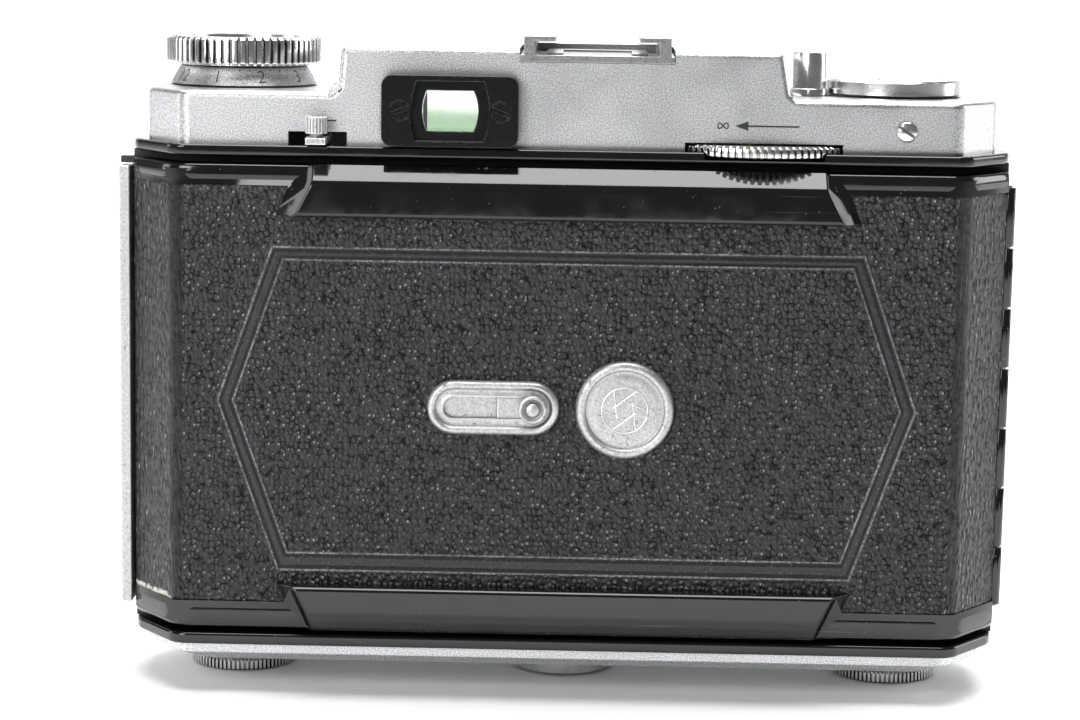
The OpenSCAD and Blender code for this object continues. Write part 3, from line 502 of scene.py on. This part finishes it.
def finish_piece(name, work, material, body, replaces=(), smooth_angle=30):
    """Turns a bmesh into a piece of the object that moves with a CAD body."""
    mesh = bpy.data.meshes.new(name)
    work.to_mesh(mesh)
    work.free()
    mesh.shade_smooth()
    mesh.set_sharp_from_angle(angle=math.radians(smooth_angle))
    mesh.materials.append(materials[material])
    piece = linked(name, mesh)
    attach(piece, body)
    if replaces:
        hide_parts(*replaces)
    return piece


def add_weighted_normals(piece):
    piece.modifiers.new("even_faces", "WEIGHTED_NORMAL").keep_sharp = True


def skin(work, rows, closed=False):
    """Faces between neighbouring rows of vertices. In closed rows the last vertex joins the first."""
    for a, b in zip(rows, rows[1:]):
        for k in range(len(a) if closed else len(a) - 1):
            j = (k + 1) % len(a)
            work.faces.new((a[k], a[j], b[j], b[k]))


def whole(node):
    """A bmesh of a CAD node, with its vertices joined and its flat faces made whole."""
    work = bmesh.new()
    work.from_mesh(nodes[node].data)
    bmesh.ops.remove_doubles(work, verts=work.verts[:], dist=1e-6)
    bmesh.ops.dissolve_limit(work, angle_limit=math.radians(0.6), verts=work.verts[:], edges=work.edges[:])
    return work


def bevel(work, test, width, segments=3, sharp=22, clamp=True):
    """Rounds the sharp edges of work for which test(a, b) holds. The edge's ends a and b are in mm."""
    edges = []
    for edge in work.edges:
        if len(edge.link_faces) != 2 or edge.calc_face_angle() < math.radians(sharp):
            continue
        a, b = (v.co / MM for v in edge.verts)
        if test(a, b):
            edges.append(edge)
    bmesh.ops.bevel(work, geom=edges, offset=width * MM, offset_type="OFFSET", segments=segments,
                    profile=0.5, affect="EDGES", clamp_overlap=clamp)


def upright(a, b):
    return abs(a.x - b.x) < 0.01 and abs(a.y - b.y) < 0.01


def soften(node, width, segments=2):
    """Rounds every sharp edge of a CAD node that keeps its own mesh."""
    piece = nodes[node]
    weld = piece.modifiers.new("weld", "WELD")
    weld.merge_threshold = 1e-6
    flat = piece.modifiers.new("flat_faces", "DECIMATE")
    flat.decimate_type = "DISSOLVE"
    flat.angle_limit = math.radians(0.6)
    edge = piece.modifiers.new("round_edges", "BEVEL")
    edge.width = width * MM
    edge.segments = segments
    edge.limit_method = "ANGLE"
    edge.angle_limit = math.radians(35)
    edge.harden_normals = True


def turned(work, centre, profile, teeth=0, depth=0.0, steps=96, axis="Z"):
    """Adds a turned solid. A profile's points are radius and height in mm, and a share of knurl depth."""
    if teeth:
        pitch = 2 * math.pi / teeth
        marks = ((-0.37, 1.0), (-0.26, 0.06), (0.0, 0.0), (0.26, 0.06), (0.37, 1.0))
        angles = [((k + at) * pitch, cut) for k in range(teeth) for at, cut in marks]
    else:
        angles = [(2 * math.pi * k / steps, 0.0) for k in range(steps)]
    turn = Matrix.Rotation(math.radians({"Z": 0, "-Y": 90}[axis]), 3, "X")
    rings = []
    for radius, height, *share in profile:
        ring = []
        for angle, cut in angles if radius > 0 else angles[:1]:
            r = max(radius, 0) - depth * sum(share) * cut
            point = Vector((r * math.cos(angle), r * math.sin(angle), height)) * MM
            ring.append(work.verts.new(Vector(centre) + turn @ point))
        rings.append(ring)
    count = len(angles)
    for low, high in zip(rings, rings[1:]):
        for k in range(count):
            j = (k + 1) % count
            if len(low) == 1:
                work.faces.new((low[0], high[j], high[k]))
            elif len(high) == 1:
                work.faces.new((low[k], low[j], high[0]))
            else:
                work.faces.new((low[k], low[j], high[j], high[k]))
    return work


def glyph(text, size):
    """Flat mesh of a short text of a size in mm, its middle at the origin, x right and y up."""
    curve = bpy.data.curves.new("glyph", "FONT")
    curve.body = text
    curve.size = size * MM
    curve.align_x = "CENTER"
    curve.align_y = "CENTER"
    curve.resolution_u = 6
    curve.offset = -0.012 * curve.size
    carrier = linked("glyph", curve)
    bpy.context.view_layer.update()
    mesh = bpy.data.meshes.new_from_object(carrier.evaluated_get(bpy.context.evaluated_depsgraph_get()))
    bpy.data.objects.remove(carrier)
    bpy.data.curves.remove(curve)
    return mesh


def stamp(work, mesh, place):
    """Adds a flat mesh to work with each of its points moved by place(x, y), with x and y in mm."""
    start = len(work.verts)
    work.from_mesh(mesh)
    work.verts.ensure_lookup_table()
    for vertex in work.verts[start:]:
        vertex.co = place(vertex.co.x / MM, vertex.co.y / MM)


def strip(work, points, width, place):
    """Adds a flat stripe of the given width along points, moved by place(x, y)."""
    rows = []
    for k, point in enumerate(points):
        back = Vector(points[max(k - 1, 0)])
        ahead = Vector(points[min(k + 1, len(points) - 1)])
        side = (ahead - back).normalized().orthogonal() * width / 2
        rows.append([work.verts.new(place(point[0] + way * side.x, point[1] + way * side.y))
                     for way in (1, -1)])
    skin(work, rows)


# ---------------------------------------------------------------- body shell

def make_top_housing():
    """Pressed chrome top: round shoulders, a fillet at each end of the finder block."""
    work = whole("top_housing")
    top, shoulder = HOUSING_HIGH.z / MM, SHOULDER_Z / MM
    rear, front = HOUSING_LOW.y / MM, HOUSING_HIGH.y / MM
    half = HOUSING_HIGH.x / MM
    rear_half = max(v.co.x for v in work.verts if abs(v.co.y - HOUSING_LOW.y) < 0.01 * MM) / MM
    ends = sorted(v.co.x / MM for v in work.verts if abs(v.co.z / MM - top) < 0.02)
    left, right = ends[0], ends[-1]
    shoe_x = middle("accessory_shoe").x / MM

    def gap(p):
        """Distance inwards from the housing's outline."""
        slope = 0.8 * (rear_half - abs(p.x)) + 0.6 * min(p.y - rear, front - p.y)
        return min(half - abs(p.x), p.y - rear, front - p.y, slope)

    def corner_post(a, b):
        return upright(a, b) and abs(a.x) > 50 and abs(a.z - b.z) > 4

    def block_end(a, b):
        across = abs(a.x - b.x) < 0.01 and abs(a.z - b.z) < 0.01 and abs(a.y - b.y) > 3
        return across and abs(a.y + b.y) / 2 < 21 and min(abs(a.x - left), abs(a.x - right)) < 1.6

    def rim(a, b):
        outer = max(gap(a), gap(b)) < 0.6
        high = min(a.z, b.z) > shoulder - 0.05
        window = a.y > 0 and b.y > 0 and shoulder + 0.2 < (a.z + b.z) / 2 < top - 0.3
        slanted = abs(a.z - b.z) > 4 and min(abs(a.x - left), abs(a.x - right)) < 2.5
        shoe = max(a.z, b.z) < top - 0.05 and max(abs(a.x - shoe_x), abs(b.x - shoe_x)) < 12.5
        upright_at_shoe = upright(a, b) and abs(a.x - shoe_x) < 12.5
        return outer and high and not shoe and not upright_at_shoe and (not window or slanted)

    bevel(work, corner_post, 1.3, 4)
    bevel(work, block_end, 1.2, 4)
    bevel(work, rim, 1.0, 5, clamp=False)
    piece = finish_piece("top_shell", work, "satin_chrome", "camera_body",
                         ["top_housing"], 35)
    add_weighted_normals(piece)


def make_flange(node, name):
    """Enamelled flange plate with round corners and soft rims."""
    work = whole(node)
    low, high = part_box(node)

    def outer(p):
        """Whether p lies on the flange's outline."""
        across, along = high.x / MM - abs(p.x), min(p.y - low.y / MM, high.y / MM - p.y)
        slope = 0.8 * across + 0.6 * along - 0.8 * CORNER[0] / MM
        return min(across, along, slope) < 0.02

    bevel(work, lambda a, b: upright(a, b) and abs(a.x) > 55 and abs(a.z - b.z) > 1, 1.8, 5)
    bevel(work, lambda a, b: abs(a.z - b.z) < 0.01 and (outer(a) and outer(b) or abs(a.x) > 58),
          0.5, 4, clamp=False)
    piece = finish_piece(name, work, "enamel", "camera_body", [node], 35)
    add_weighted_normals(piece)


def make_bottom_plate():
    """Chrome bottom plate, its lower outline rounded except at the spool knobs."""
    work = whole("bottom_plate")
    bevel(work, lambda a, b: upright(a, b) and abs(a.x) > 50, 1.6, 4)
    bevel(work, lambda a, b: abs(a.z - b.z) < 0.01 and 4 < a.z < 7.5 and abs(abs(a.x) - 51.8) > 0.1, 0.35, 3)
    piece = finish_piece("base_shell", work, "satin_chrome", "camera_body",
                         ["bottom_plate"], 35)
    add_weighted_normals(piece)


def make_door():
    """Enamelled door shell. The ridges' ends lean inwards as pressed facets, and their edges are soft."""
    work = whole("back_door")
    rear = REAR_Y / MM
    crest = min(v.co.y for v in work.verts)
    crest_z = [v.co.z / MM for v in work.verts if v.co.y < crest + 0.01 * MM]
    folds = (min(crest_z), max(crest_z))
    lean, flare, tuck = 1.15, 1.2 * MM, 0.9 * MM
    for vertex in work.verts:
        place = vertex.co
        proud = REAR_Y - place.y
        if proud > 0.1 * MM:
            place.x -= math.copysign(proud * lean - flare, place.x)
            continue
        near_ridge = place.z > 74.6 * MM or place.z < 18 * MM
        if proud > -0.5 * MM and near_ridge and 38 * MM < abs(place.x) < 44 * MM:
            place.x += math.copysign(flare, place.x)
        if place.z < DOOR_LOW.z + 0.01 * MM:
            place.z += tuck
        elif place.z > DOOR_HIGH.z - 0.01 * MM:
            place.z -= tuck

    def along_fold(a, b):
        level = abs(a.z - b.z) < 0.01 and min(abs(a.z - z) for z in folds) < 0.02
        return level and max(a.y, b.y) < rear - 2.5

    bevel(work, along_fold, 0.9, 5, clamp=False)
    bevel(work, lambda a, b: min(a.y, b.y) < rear - 0.3, 0.22, 2)
    piece = finish_piece("door_shell", work, "enamel", "door", ["back_door"], 36)
    for edge in piece.data.edges:
        ends = [piece.data.vertices[k].co for k in edge.vertices]
        at_rim = all(v.z > DOOR_HIGH.z - 0.1 * MM or v.z < DOOR_LOW.z + 0.1 * MM for v in ends)
        edge.use_edge_sharp = edge.use_edge_sharp or at_rim
    add_weighted_normals(piece)


def make_door_beads():
    """Rounded enamelled beads along the door's lower and upper edges."""
    section = ((2.2, 0.0), (0.6, 0.04), (0.2, 0.3), (0.02, 0.75), (-0.06, 1.4), (-0.08, 2.1), (-0.03, 2.8),
               (0.08, 3.3), (0.4, 3.75), (1.0, 3.95))
    path = resampled(rounded_path(rear_corners(DOOR_HIGH.y), 3 * MM), 2 * MM)
    normals = path_normals(path)
    work = bmesh.new()
    for base, top in ((DOOR_LOW.z, LEATHER_LOW.z), (DOOR_HIGH.z, LEATHER_HIGH.z)):
        scale = (top - base) / (section[-1][1] * MM)
        rows = [[work.verts.new((*(point - normal * inset * MM), base + rise * MM * scale))
                 for point, normal in zip(path, normals)] for inset, rise in section]
        skin(work, rows)
        for k in (0, -1):
            work.faces.new([row[k] for row in rows])
    bmesh.ops.recalc_face_normals(work, faces=work.faces[:])
    finish_piece("door_beads", work, "enamel", "door", smooth_angle=60)


def rear_corners(front_y):
    """The corners of the body's outline round its back, from front_y on the left to front_y on the right."""
    inner_x = HALF_W - CORNER[0]
    left = [(-HALF_W, front_y), (-HALF_W, REAR_Y + CORNER[1]), (-inner_x, REAR_Y)]
    return left + [(-x, y) for x, y in reversed(left)]


def rounded_path(points, radius):
    """The open path through points with its corners turned into short curves, as (x, y) vectors."""
    path = [Vector(points[0])]
    for back, corner, ahead in zip(points, points[1:], points[2:]):
        corner = Vector(corner)
        legs = [Vector(back) - corner, Vector(ahead) - corner]
        a, b = (corner + leg.normalized() * min(radius, leg.length * 0.45) for leg in legs)
        for t in (k / 6 for k in range(7)):
            path.append((1 - t) ** 2 * a + 2 * t * (1 - t) * corner + t ** 2 * b)
    path.append(Vector(points[-1]))
    return path


def resampled(path, step):
    """Points along path, no further than step apart."""
    out = [path[0]]
    for a, b in zip(path, path[1:]):
        pieces = max(1, math.ceil((b - a).length / step))
        out += [a.lerp(b, k / pieces) for k in range(1, pieces + 1)]
    return out


def path_normals(path):
    """Outward direction at each point of a path that runs anticlockwise round the body."""
    last = len(path) - 1
    ways = [(path[min(k + 1, last)] - path[max(k - 1, 0)]).normalized() for k in range(last + 1)]
    return [Vector((way.y, -way.x)) for way in ways]


def make_door_leather():
    """Glued covering round the door: edges rolled, surface slightly uneven, a hole for the red window."""
    thick, seed, step = 0.4 * MM, 3.7, 1.6 * MM
    low, high = LEATHER_LOW.z, LEATHER_HIGH.z
    corners = rear_corners(LEATHER_HIGH.y)[:-1]
    corners[-1] = (HALF_W - 0.1 * MM, REAR_Y + CORNER[1])
    path = resampled(rounded_path(corners, 1.5 * MM), step)
    last = len(path) - 1
    normals = path_normals(path)
    rims = [0, 0.0, 0.12, 0.35, 0.8]
    inner = resampled([Vector((low + 1.4 * MM, 0)), Vector((high - 1.4 * MM, 0))], step)
    levels = [low + r * MM for r in rims] + [p.x for p in inner] + [high - r * MM for r in reversed(rims)]
    top = len(levels) - 1
    work = bmesh.new()

    def inset(i, k, point, z):
        """How far the sheet's surface lies inside the path."""
        if i in (0, top):
            return thick
        from_edge = min(z - low, high - z) / MM
        rolled = 0.16 * MM * math.exp(-from_edge / 0.22) + (0.1 * MM if k in (0, last) else 0)
        wave = noise.noise(Vector((point.x, point.y, z)) * 160 + Vector((seed, 0, 0)))
        curl = math.exp(-from_edge / 1.5) * max(0, noise.noise(Vector((point.x * 220, seed, z * 90))))
        return rolled - (0.03 * wave + 0.12 * curl) * MM + 0.03 * MM

    def ragged(i, point):
        """How far the sheet's lower and upper edges stray from a straight line."""
        shift = {1: 0, 2: 0, top - 1: 9, top - 2: 9}.get(i)
        if shift is None:
            return 0.0
        return 0.12 * MM * noise.noise(Vector((point.x * 900, point.y * 900, seed + shift)))

    grid = []
    for i, z in enumerate(levels):
        row = []
        for k, point in enumerate(path):
            place = point - normals[k] * inset(i, k, point, z)
            row.append(work.verts.new((place.x, place.y, z + ragged(i, point))))
        grid.append(row)
    skin(work, grid)
    for k in (0, last):
        edge = [row[k] for row in grid]
        back = path[k] - normals[k] * thick
        skin(work, [edge, [work.verts.new((back.x, back.y, v.co.z)) for v in edge]])
    window, radius = middle("red_window"), 2.3 * MM

    def away(vertex):
        return Vector((vertex.co.x - window.x, vertex.co.z - window.z))

    inside = [v for v in work.verts if away(v).length < radius * 1.05]
    bmesh.ops.delete(work, geom=inside, context="VERTS")
    border = {v for e in work.edges if e.is_boundary for v in e.verts if away(v).length < radius * 2.2}
    for vertex in border:
        way = away(vertex).normalized() * radius
        vertex.co.x, vertex.co.z = window.x + way.x, window.z + way.y
    bmesh.ops.recalc_face_normals(work, faces=work.faces[:])
    finish_piece("door_covering", work, "door_grain", "door", ["door_leather"], 50)


# ---------------------------------------------------------------- controls on the top

def make_wind_knob():
    """Knurled knob with a low rim round its dished top."""
    axis, radius, foot, top = turned_measures("wind_knob")
    work = turned(bmesh.new(), axis, [
        (2.5, foot), (radius - 1.1, foot), (radius - 0.75, foot + 0.05), (radius - 0.1, foot + 0.45, 0.7),
        (radius, foot + 0.6, 1), (radius, top - 0.6, 1), (radius - 0.1, top - 0.35, 0.8),
        (radius - 0.7, top), (9.5, top), (9.2, top - 0.15), (9.1, top - 0.7), (8.8, top - 0.75),
        (3.2, top - 0.7), (3.0, top - 0.85), (0, top - 0.85),
    ], teeth=60, depth=0.62)
    finish_piece("wind_knob_rim", work, "bright_chrome", "wind", ["wind_knob"], 28)


def make_counter():
    """Conical dial with its numbers and ticks, spaced wider for the first frames of the film."""
    axis, wide, foot, top = turned_measures("counter_dial")
    narrow, rise = wide - 1.5, top - foot
    work = turned(bmesh.new(), axis, [(2.6, foot), (wide, foot), (narrow, top), (2.6, top)], steps=128)
    finish_piece("counter_cone", work, "satin_chrome", "counter", ["counter_dial"], 28)

    def on_cone(turn, lift):
        """Place on the cone for an angle from -Y towards +X and a share of its height."""
        radius = wide + (narrow - wide) * lift + 0.015
        return axis + Vector((radius * math.sin(turn), -radius * math.cos(turn), foot + rise * lift)) * MM

    paint = bmesh.new()
    last, size, reading_radius = 12, 2.7, wide - 0.9
    turn = math.radians(-15.5)
    for number in range(1, last + 1):
        stamp(paint, glyph(str(number), size),
              lambda u, v, t=turn: on_cone(t + u / reading_radius, 0.46 + v / rise))
        if number < last:
            gap = math.radians(37 - 1.54 * (number - 1))
            for k, tall in ((1, 0.09), (2, 0.14), (3, 0.09)):
                t = turn + gap * k / 4
                strip(paint, [(t, 0.9 - tall), (t, 0.9)], 0.016, on_cone)
            turn += gap
    finish_piece("counter_numbers", paint, "black_paint", "counter")


def make_release_button():
    """Polished button with a hole for a cable release."""
    axis, _, base, top = turned_measures("release_button")
    shaft, rim, bore, floor = 1.5, 2.6, 1.55, top - 4.5
    work = turned(bmesh.new(), axis, [
        (0, base), (shaft, base), (shaft, top - 5.8), (rim, top - 5.8), (rim, top - 0.35),
        (rim - 0.1, top - 0.1), (2.3, top), (1.75, top), (bore, top - 0.2), (bore, floor), (0, floor),
    ], steps=64)
    finish_piece("release_cap", work, "bright_chrome", "release", ["release_button"], 28)


def make_release_spring():
    """Coil spring of the release button, with a mesh of its own."""
    piece = finish_piece("release_coil", whole("release_spring"), "steel", "camera_body",
                         ["release_spring"], 40)
    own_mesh(piece)


def make_eyepiece_lens():
    """Eyepiece glass, its rear face tilted to look through the finder's front window."""
    low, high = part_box("eyepiece_lens")
    work = whole("eyepiece_lens")
    tilt = 1.1 * MM / (high.z - low.z)
    for vertex in work.verts:
        if vertex.co.y < low.y + 0.1 * MM:
            vertex.co.y += tilt * (high.z - vertex.co.z)
    finish_piece("eyepiece_glass", work, "optical_glass", "camera_body", ["eyepiece_lens"])


def make_distance_dial():
    """Flat dial with a turned rim and generic distance numbers."""
    axis, radius, foot, top = turned_measures("distance_dial")
    base, floor, ring = top - 2.4, top - 0.12, 7
    work = turned(bmesh.new(), axis, [
        (1.5, foot), (1.5, base), (radius - 0.2, base), (radius, base + 0.2), (radius, top - 0.3),
        (radius - 0.3, top), (radius - 1, top), (radius - 1.15, floor), (3.3, floor), (3.1, top), (0, top),
    ], steps=128)
    finish_piece("distance_disc", work, "bright_chrome", "dial", ["distance_dial"], 28)
    paint = bmesh.new()
    for k, label in enumerate(("1", "1.2", "1.5", "2", "3", "4", "6", "10", "20")):
        turn = math.radians(-140 + 34 * k)

        def flat(u, v, turn=turn):
            r, a = ring + v, turn + u / ring
            return axis + Vector((r * math.sin(a), r * math.cos(a), floor + 0.02)) * MM

        stamp(paint, glyph(label, 1.9), flat)
        strip(paint, [(0, 1.3), (0, 2.1)], 0.18, flat)
    strip(paint, [(-2, 0), (2, 0)], 0.5, lambda u, v: axis + Vector((u, v, top + 0.005)) * MM)
    finish_piece("distance_numbers", paint, "black_paint", "dial")


def make_focus_wheel():
    """Flat thumb wheel with a fine knurl."""
    axis, radius, foot, top = turned_measures("focus_wheel")
    work = turned(bmesh.new(), axis, [
        (2.05, foot), (radius - 0.9, foot), (radius - 0.05, foot + 0.25, 1), (radius, foot + 0.35, 1),
        (radius, top - 0.35, 1), (radius - 0.05, top - 0.25, 1), (radius - 0.9, top), (2.05, top),
    ], teeth=90, depth=0.5)
    finish_piece("focus_rim", work, "bright_chrome", "focus", ["focus_wheel"], 28)


def make_spool_knobs():
    """The two knurled feet under the spools, with the pins that hold the spools."""
    for side in ("left", "right"):
        node = "spool_knob_" + side
        axis, radius, foot, _ = turned_measures(node)
        outline = [
            (0, 0.35), (1.1, 0.35), (1.3, 0), (radius - 0.7, 0), (radius - 0.15, 0.2, 0.7),
            (radius, 0.35, 1), (radius, 1.65, 1), (radius - 0.15, 1.8, 0.7), (radius - 0.7, 2), (2.5, 2),
            (2.5, 12.9), (2.2, 12.95), (2.2, 16.5), (1.9, 16.8), (0, 16.8),
        ]
        profile = [(r, foot + height, *share) for r, height, *share in outline]
        work = turned(bmesh.new(), axis, profile, teeth=72, depth=0.4)
        finish_piece("film_knob_" + side, work, "bright_chrome", "knob_" + side, [node], 28)


def slotted_dome(work, x, z, face, way, turn):
    """Adds a domed screw head with an open slot, in mm. Its face looks along way times Y."""
    radius, half_slot, slot_floor = 1.55, 0.23, 0.15
    rings = [half_slot + (radius - half_slot) * share for share in (0.0, 0.3, 0.6, 0.8, 0.93, 1.0)]

    def put(u, v, up):
        a, b = u * math.cos(turn) - v * math.sin(turn), u * math.sin(turn) + v * math.cos(turn)
        return work.verts.new(((x + a) * MM, (face + way * up) * MM, (z + b) * MM))

    def dome(r):
        return 0.28 + 0.42 * math.sqrt(max(0.0, 1 - (r / radius) ** 2))

    for side in (-1, 1):
        rows = []
        for r, up in [(r, dome(r)) for r in rings] + [(radius, 0)]:
            spread = math.acos(half_slot / r)
            angles = [spread * (k / 8 - 1) for k in range(17)]
            rows.append([put(side * r * math.cos(a), r * math.sin(a), up) for a in angles])
        skin(work, rows)
        for end in (-1, 1):
            reach = [end * math.sqrt(max(0.0, r * r - half_slot ** 2)) for r in rings]
            crest = [put(side * half_slot, v, dome(r)) for v, r in zip(reach, rings)]
            foot = [put(side * half_slot, v, slot_floor) for v in reach]
            skin(work, [crest, foot])
    long = math.sqrt(radius ** 2 - half_slot ** 2)
    corners = ((-1, -1), (1, -1), (1, 1), (-1, 1))
    work.faces.new([put(u * half_slot, v * long, slot_floor) for u, v in corners])


def make_housing_screws():
    """Heads of the housing's three screws: one at the back, two at the front."""
    rear, front = HOUSING_LOW.y / MM, HOUSING_HIGH.y / MM
    level = 88.7
    work = bmesh.new()
    slotted_dome(work, 50.7, level, rear, -1, math.radians(55))
    for x in (-50, 50):
        slotted_dome(work, x, level, front, 1, math.radians(20))
    bmesh.ops.remove_doubles(work, verts=work.verts[:], dist=1e-6)
    bmesh.ops.recalc_face_normals(work, faces=work.faces[:])
    finish_piece("screw_heads", work, "bright_chrome", "camera_body", ["housing_screws"], 40)


def make_housing_marks():
    """Painted marks on the rear of the top: distance arrow, infinity, lock index. Measures in mm."""
    face = HOUSING_LOW.y / MM - 0.012
    work = bmesh.new()

    def on_rear(u, v):
        return Vector((u, face, v)) * MM

    level, tip, tail, wing, shaft_end = 89.2, 24.8, 26.8, 0.7, 34.5
    strip(work, [(tail - 0.2, level), (shaft_end, level)], 0.26, on_rear)
    head = ((tip, level), (tail, level - wing), (tail, level + wing))
    work.faces.new([work.verts.new(on_rear(*p)) for p in head])
    turns = [2 * math.pi * k / 40 for k in range(41)]
    strip(work, [(23 + 0.78 * math.sin(t), level + 0.42 * math.sin(2 * t)) for t in turns], 0.2, on_rear)
    strip(work, [(-37.3, 89), (-35.4, 89)], 0.22, on_rear)
    finish_piece("housing_marks", work, "black_paint", "camera_body")


# ---------------------------------------------------------------- window plate and medallion on the door

def make_medallion():
    """Stamped disc: thick rolled rim and a generic mark, an iris of six blades, pressed into its floor."""
    low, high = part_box("door_medallion")
    centre = middle("door_medallion")
    radius = (high.x - low.x) / 2 / MM
    proud, floor = (high.y - low.y) / MM, 0.9
    centre.y = REAR_Y
    work = turned(bmesh.new(), centre, [
        (radius, 0), (radius, 0.55), (radius - 0.12, 0.95), (radius - 0.45, 1.28), (radius - 0.85, proud),
        (radius - 1.2, proud - 0.06), (radius - 1.42, 1.12), (radius - 1.55, 0.8), (radius - 1.7, 0.74),
        (5.3, 0.86), (4.6, floor), (0, floor),
    ], steps=128, axis="-Y")
    finish_piece("medallion_disc", work, "worn_aluminium", "door", ["door_medallion"], 40)
    lines = bmesh.new()

    def polar(reach, turn):
        return Vector((math.cos(turn), math.sin(turn))) * reach

    def ridge(start, end):
        """A low ridge with a rounded top on the medallion's floor."""
        side = (end - start).normalized().orthogonal() * 0.15
        section = ((-1, -0.03), (-0.6, 0.08), (0, 0.11), (0.6, 0.08), (1, -0.03))
        rows = []
        for point in (start, end):
            row = [(point + side * across, floor + up) for across, up in section]
            rows.append([lines.verts.new(centre + Vector((p.x, -up, p.y)) * MM) for p, up in row])
        skin(lines, rows)

    for k in range(6):
        turn = math.radians(60 * k)
        ridge(polar(3.4, turn), polar(1.75, turn + 1.9))
    circle = [polar(3.5, 2 * math.pi * k / 72) for k in range(73)]
    for a, b in zip(circle, circle[1:]):
        ridge(a, b)
    finish_piece("medallion_mark", lines, "worn_aluminium", "door")


def stadium_ring(half_w, half_h, count=20):
    """Outline with round ends, counter-clockwise from the lower right."""
    points = []
    for start, way in ((-90, 1), (90, -1)):
        for k in range(count + 1):
            a = math.radians(start + 180 * k / count)
            points.append((way * (half_w - half_h) + half_h * math.cos(a), half_h * math.sin(a)))
    return points


def make_window_plate():
    """Plate with a rolled rim round the slot that the slider runs in."""
    low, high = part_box("window_plate")
    centre = middle("window_plate")
    centre.y = REAR_Y
    half_w, half_h = (high.x - low.x) / 2 / MM, (high.z - low.z) / 2 / MM
    slot_w, slot_h = 7.6, 1.65
    rim = ((0, 0.0), (0, 0.6), (0.12, 1.0), (0.4, 1.3), (0.75, 1.4), (1.05, 1.3), (1.25, 1.05), (1.4, 0.72),
           (1.6, 0.66), (2.0, 0.68))
    work = bmesh.new()

    def put(x, proud, z):
        return work.verts.new(centre + Vector((x, -proud, z)) * MM)

    rings = [[put(x, proud, z) for x, z in stadium_ring(half_w - inset, half_h - inset)]
             for inset, proud in rim]
    rings += [[put(x, proud, z) for x, z in stadium_ring(slot_w + grow, slot_h + grow)]
              for grow, proud in ((0.2, 0.82), (0, 0.72), (0, 0.3))]
    skin(work, rings, closed=True)
    bmesh.ops.recalc_face_normals(work, faces=work.faces[:])
    window_x, hole, floor = (middle("red_window").x - centre.x) / MM, 2.1, 0.06
    rise = [slot_h * k / 8 for k in range(-8, 9)]
    for way in (-1, 1):
        end = [way * (slot_w - slot_h + math.sqrt(max(0, slot_h ** 2 - v * v))) for v in rise]
        edge = [window_x + way * math.sqrt(hole ** 2 - v * v) for v in rise]
        rows = [[put(x, floor, v) for x, v in zip(line, rise)] for line in (end, edge)]
        skin(work, rows[::way])
    finish_piece("window_frame", work, "worn_aluminium", "door", ["window_plate"], 40)


def make_slider():
    """Blade of the film window with its turned knob: rim, groove and middle pin."""
    work = whole("window_slider")
    bmesh.ops.delete(work, geom=[v for v in work.verts if v.co.y < REAR_Y - 0.5 * MM], context="VERTS")
    knob = Vector((-5 * MM, REAR_Y, middle("window_slider").z))
    turned(work, knob, [
        (1.5, 0.4), (1.5, 1.15), (2.05, 1.15), (2.2, 1.35), (2.2, 2.1), (2.05, 2.35), (1.85, 2.4),
        (1.62, 2.3), (1.52, 2.0), (1.1, 1.95), (1.0, 2.1), (0.98, 2.45), (0.8, 2.6), (0, 2.6),
    ], steps=64, axis="-Y")
    finish_piece("slider_blade", work, "worn_aluminium", "slider", ["window_slider"], 40)


# ---------------------------------------------------------------- bellows and lens

def make_bellows():
    """Pleated square bellows between the body and the front standard."""
    low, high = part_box("bellows")
    centre = middle("bellows")
    half_width = (high.x - low.x) / 2
    crest, valley = (half_width - 0.1 * MM, 3.2 * MM), (half_width - 3.3 * MM, 1.2 * MM)
    steps = 2 * 11
    work = bmesh.new()
    rings = []
    for k in range(steps + 1):
        half, cut = valley if k % 2 else crest
        y = low.y + (high.y - low.y) * k / steps
        ring = []
        for sx, sz in ((1, -1), (1, 1), (-1, 1), (-1, -1)):
            pair = ((sx * half, sz * (half - cut)), (sx * (half - cut), sz * half))
            ring += [work.verts.new((centre.x + x, y, centre.z + z)) for x, z in pair[::sx * sz]]
        rings.append(ring)
    skin(work, rings, closed=True)
    mesh = bpy.data.meshes.new("bellows_pleats")
    work.to_mesh(mesh)
    work.free()
    mesh.materials.append(materials["bellows_cloth"])
    piece = linked("bellows_pleats", mesh)
    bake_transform(piece)
    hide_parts("bellows")


# ---------------------------------------------------------------- the carried-over CAD nodes

# Nodes that keep their CAD mesh, by the width in mm of their rounded edges.
SOFT_EDGES = {
    0.25: ("bed", "front_standard", "eyepiece_plate", "finder_frame", "rangefinder_frame", "latch_plate"),
    0.15: ("accessory_shoe", "release_collar", "tripod_socket", "tripod_collar", "shutter_housing",
           "lens_barrel", "strut_left", "strut_right", "bed_release_button", "bed_leather",
           "distance_dial", "pressure_plate"),
    0.08: ("eyepiece_screws", "advance_lock_lever", "shoe_spring", "speed_ring",
           "aperture_ring", "cocking_ring", "door_hinge_leaf", "body_hinge_leaf", "wind_shaft",
           "door_hinge_pin"),
}


def dress_cad_nodes():
    for node in nodes.values():
        for slot in node.material_slots:
            slot.material = materials[slot.material.name.split(".")[0]]
    for width, names in SOFT_EDGES.items():
        for name in names:
            soften(name, width)


bpy.context.scene.view_settings.view_transform = "Standard"
make_camera()
make_world()
make_sweep()
make_lights()
materials = make_materials()
dress_cad_nodes()
make_top_housing()
make_flange("upper_flange", "flange_upper")
make_flange("lower_flange", "flange_lower")
make_bottom_plate()
make_door()
make_door_beads()
make_door_leather()
make_wind_knob()
make_counter()
make_release_button()
make_release_spring()
make_eyepiece_lens()
make_distance_dial()
make_focus_wheel()
make_spool_knobs()
make_housing_screws()
make_housing_marks()
make_medallion()
make_window_plate()
make_slider()
make_bellows()
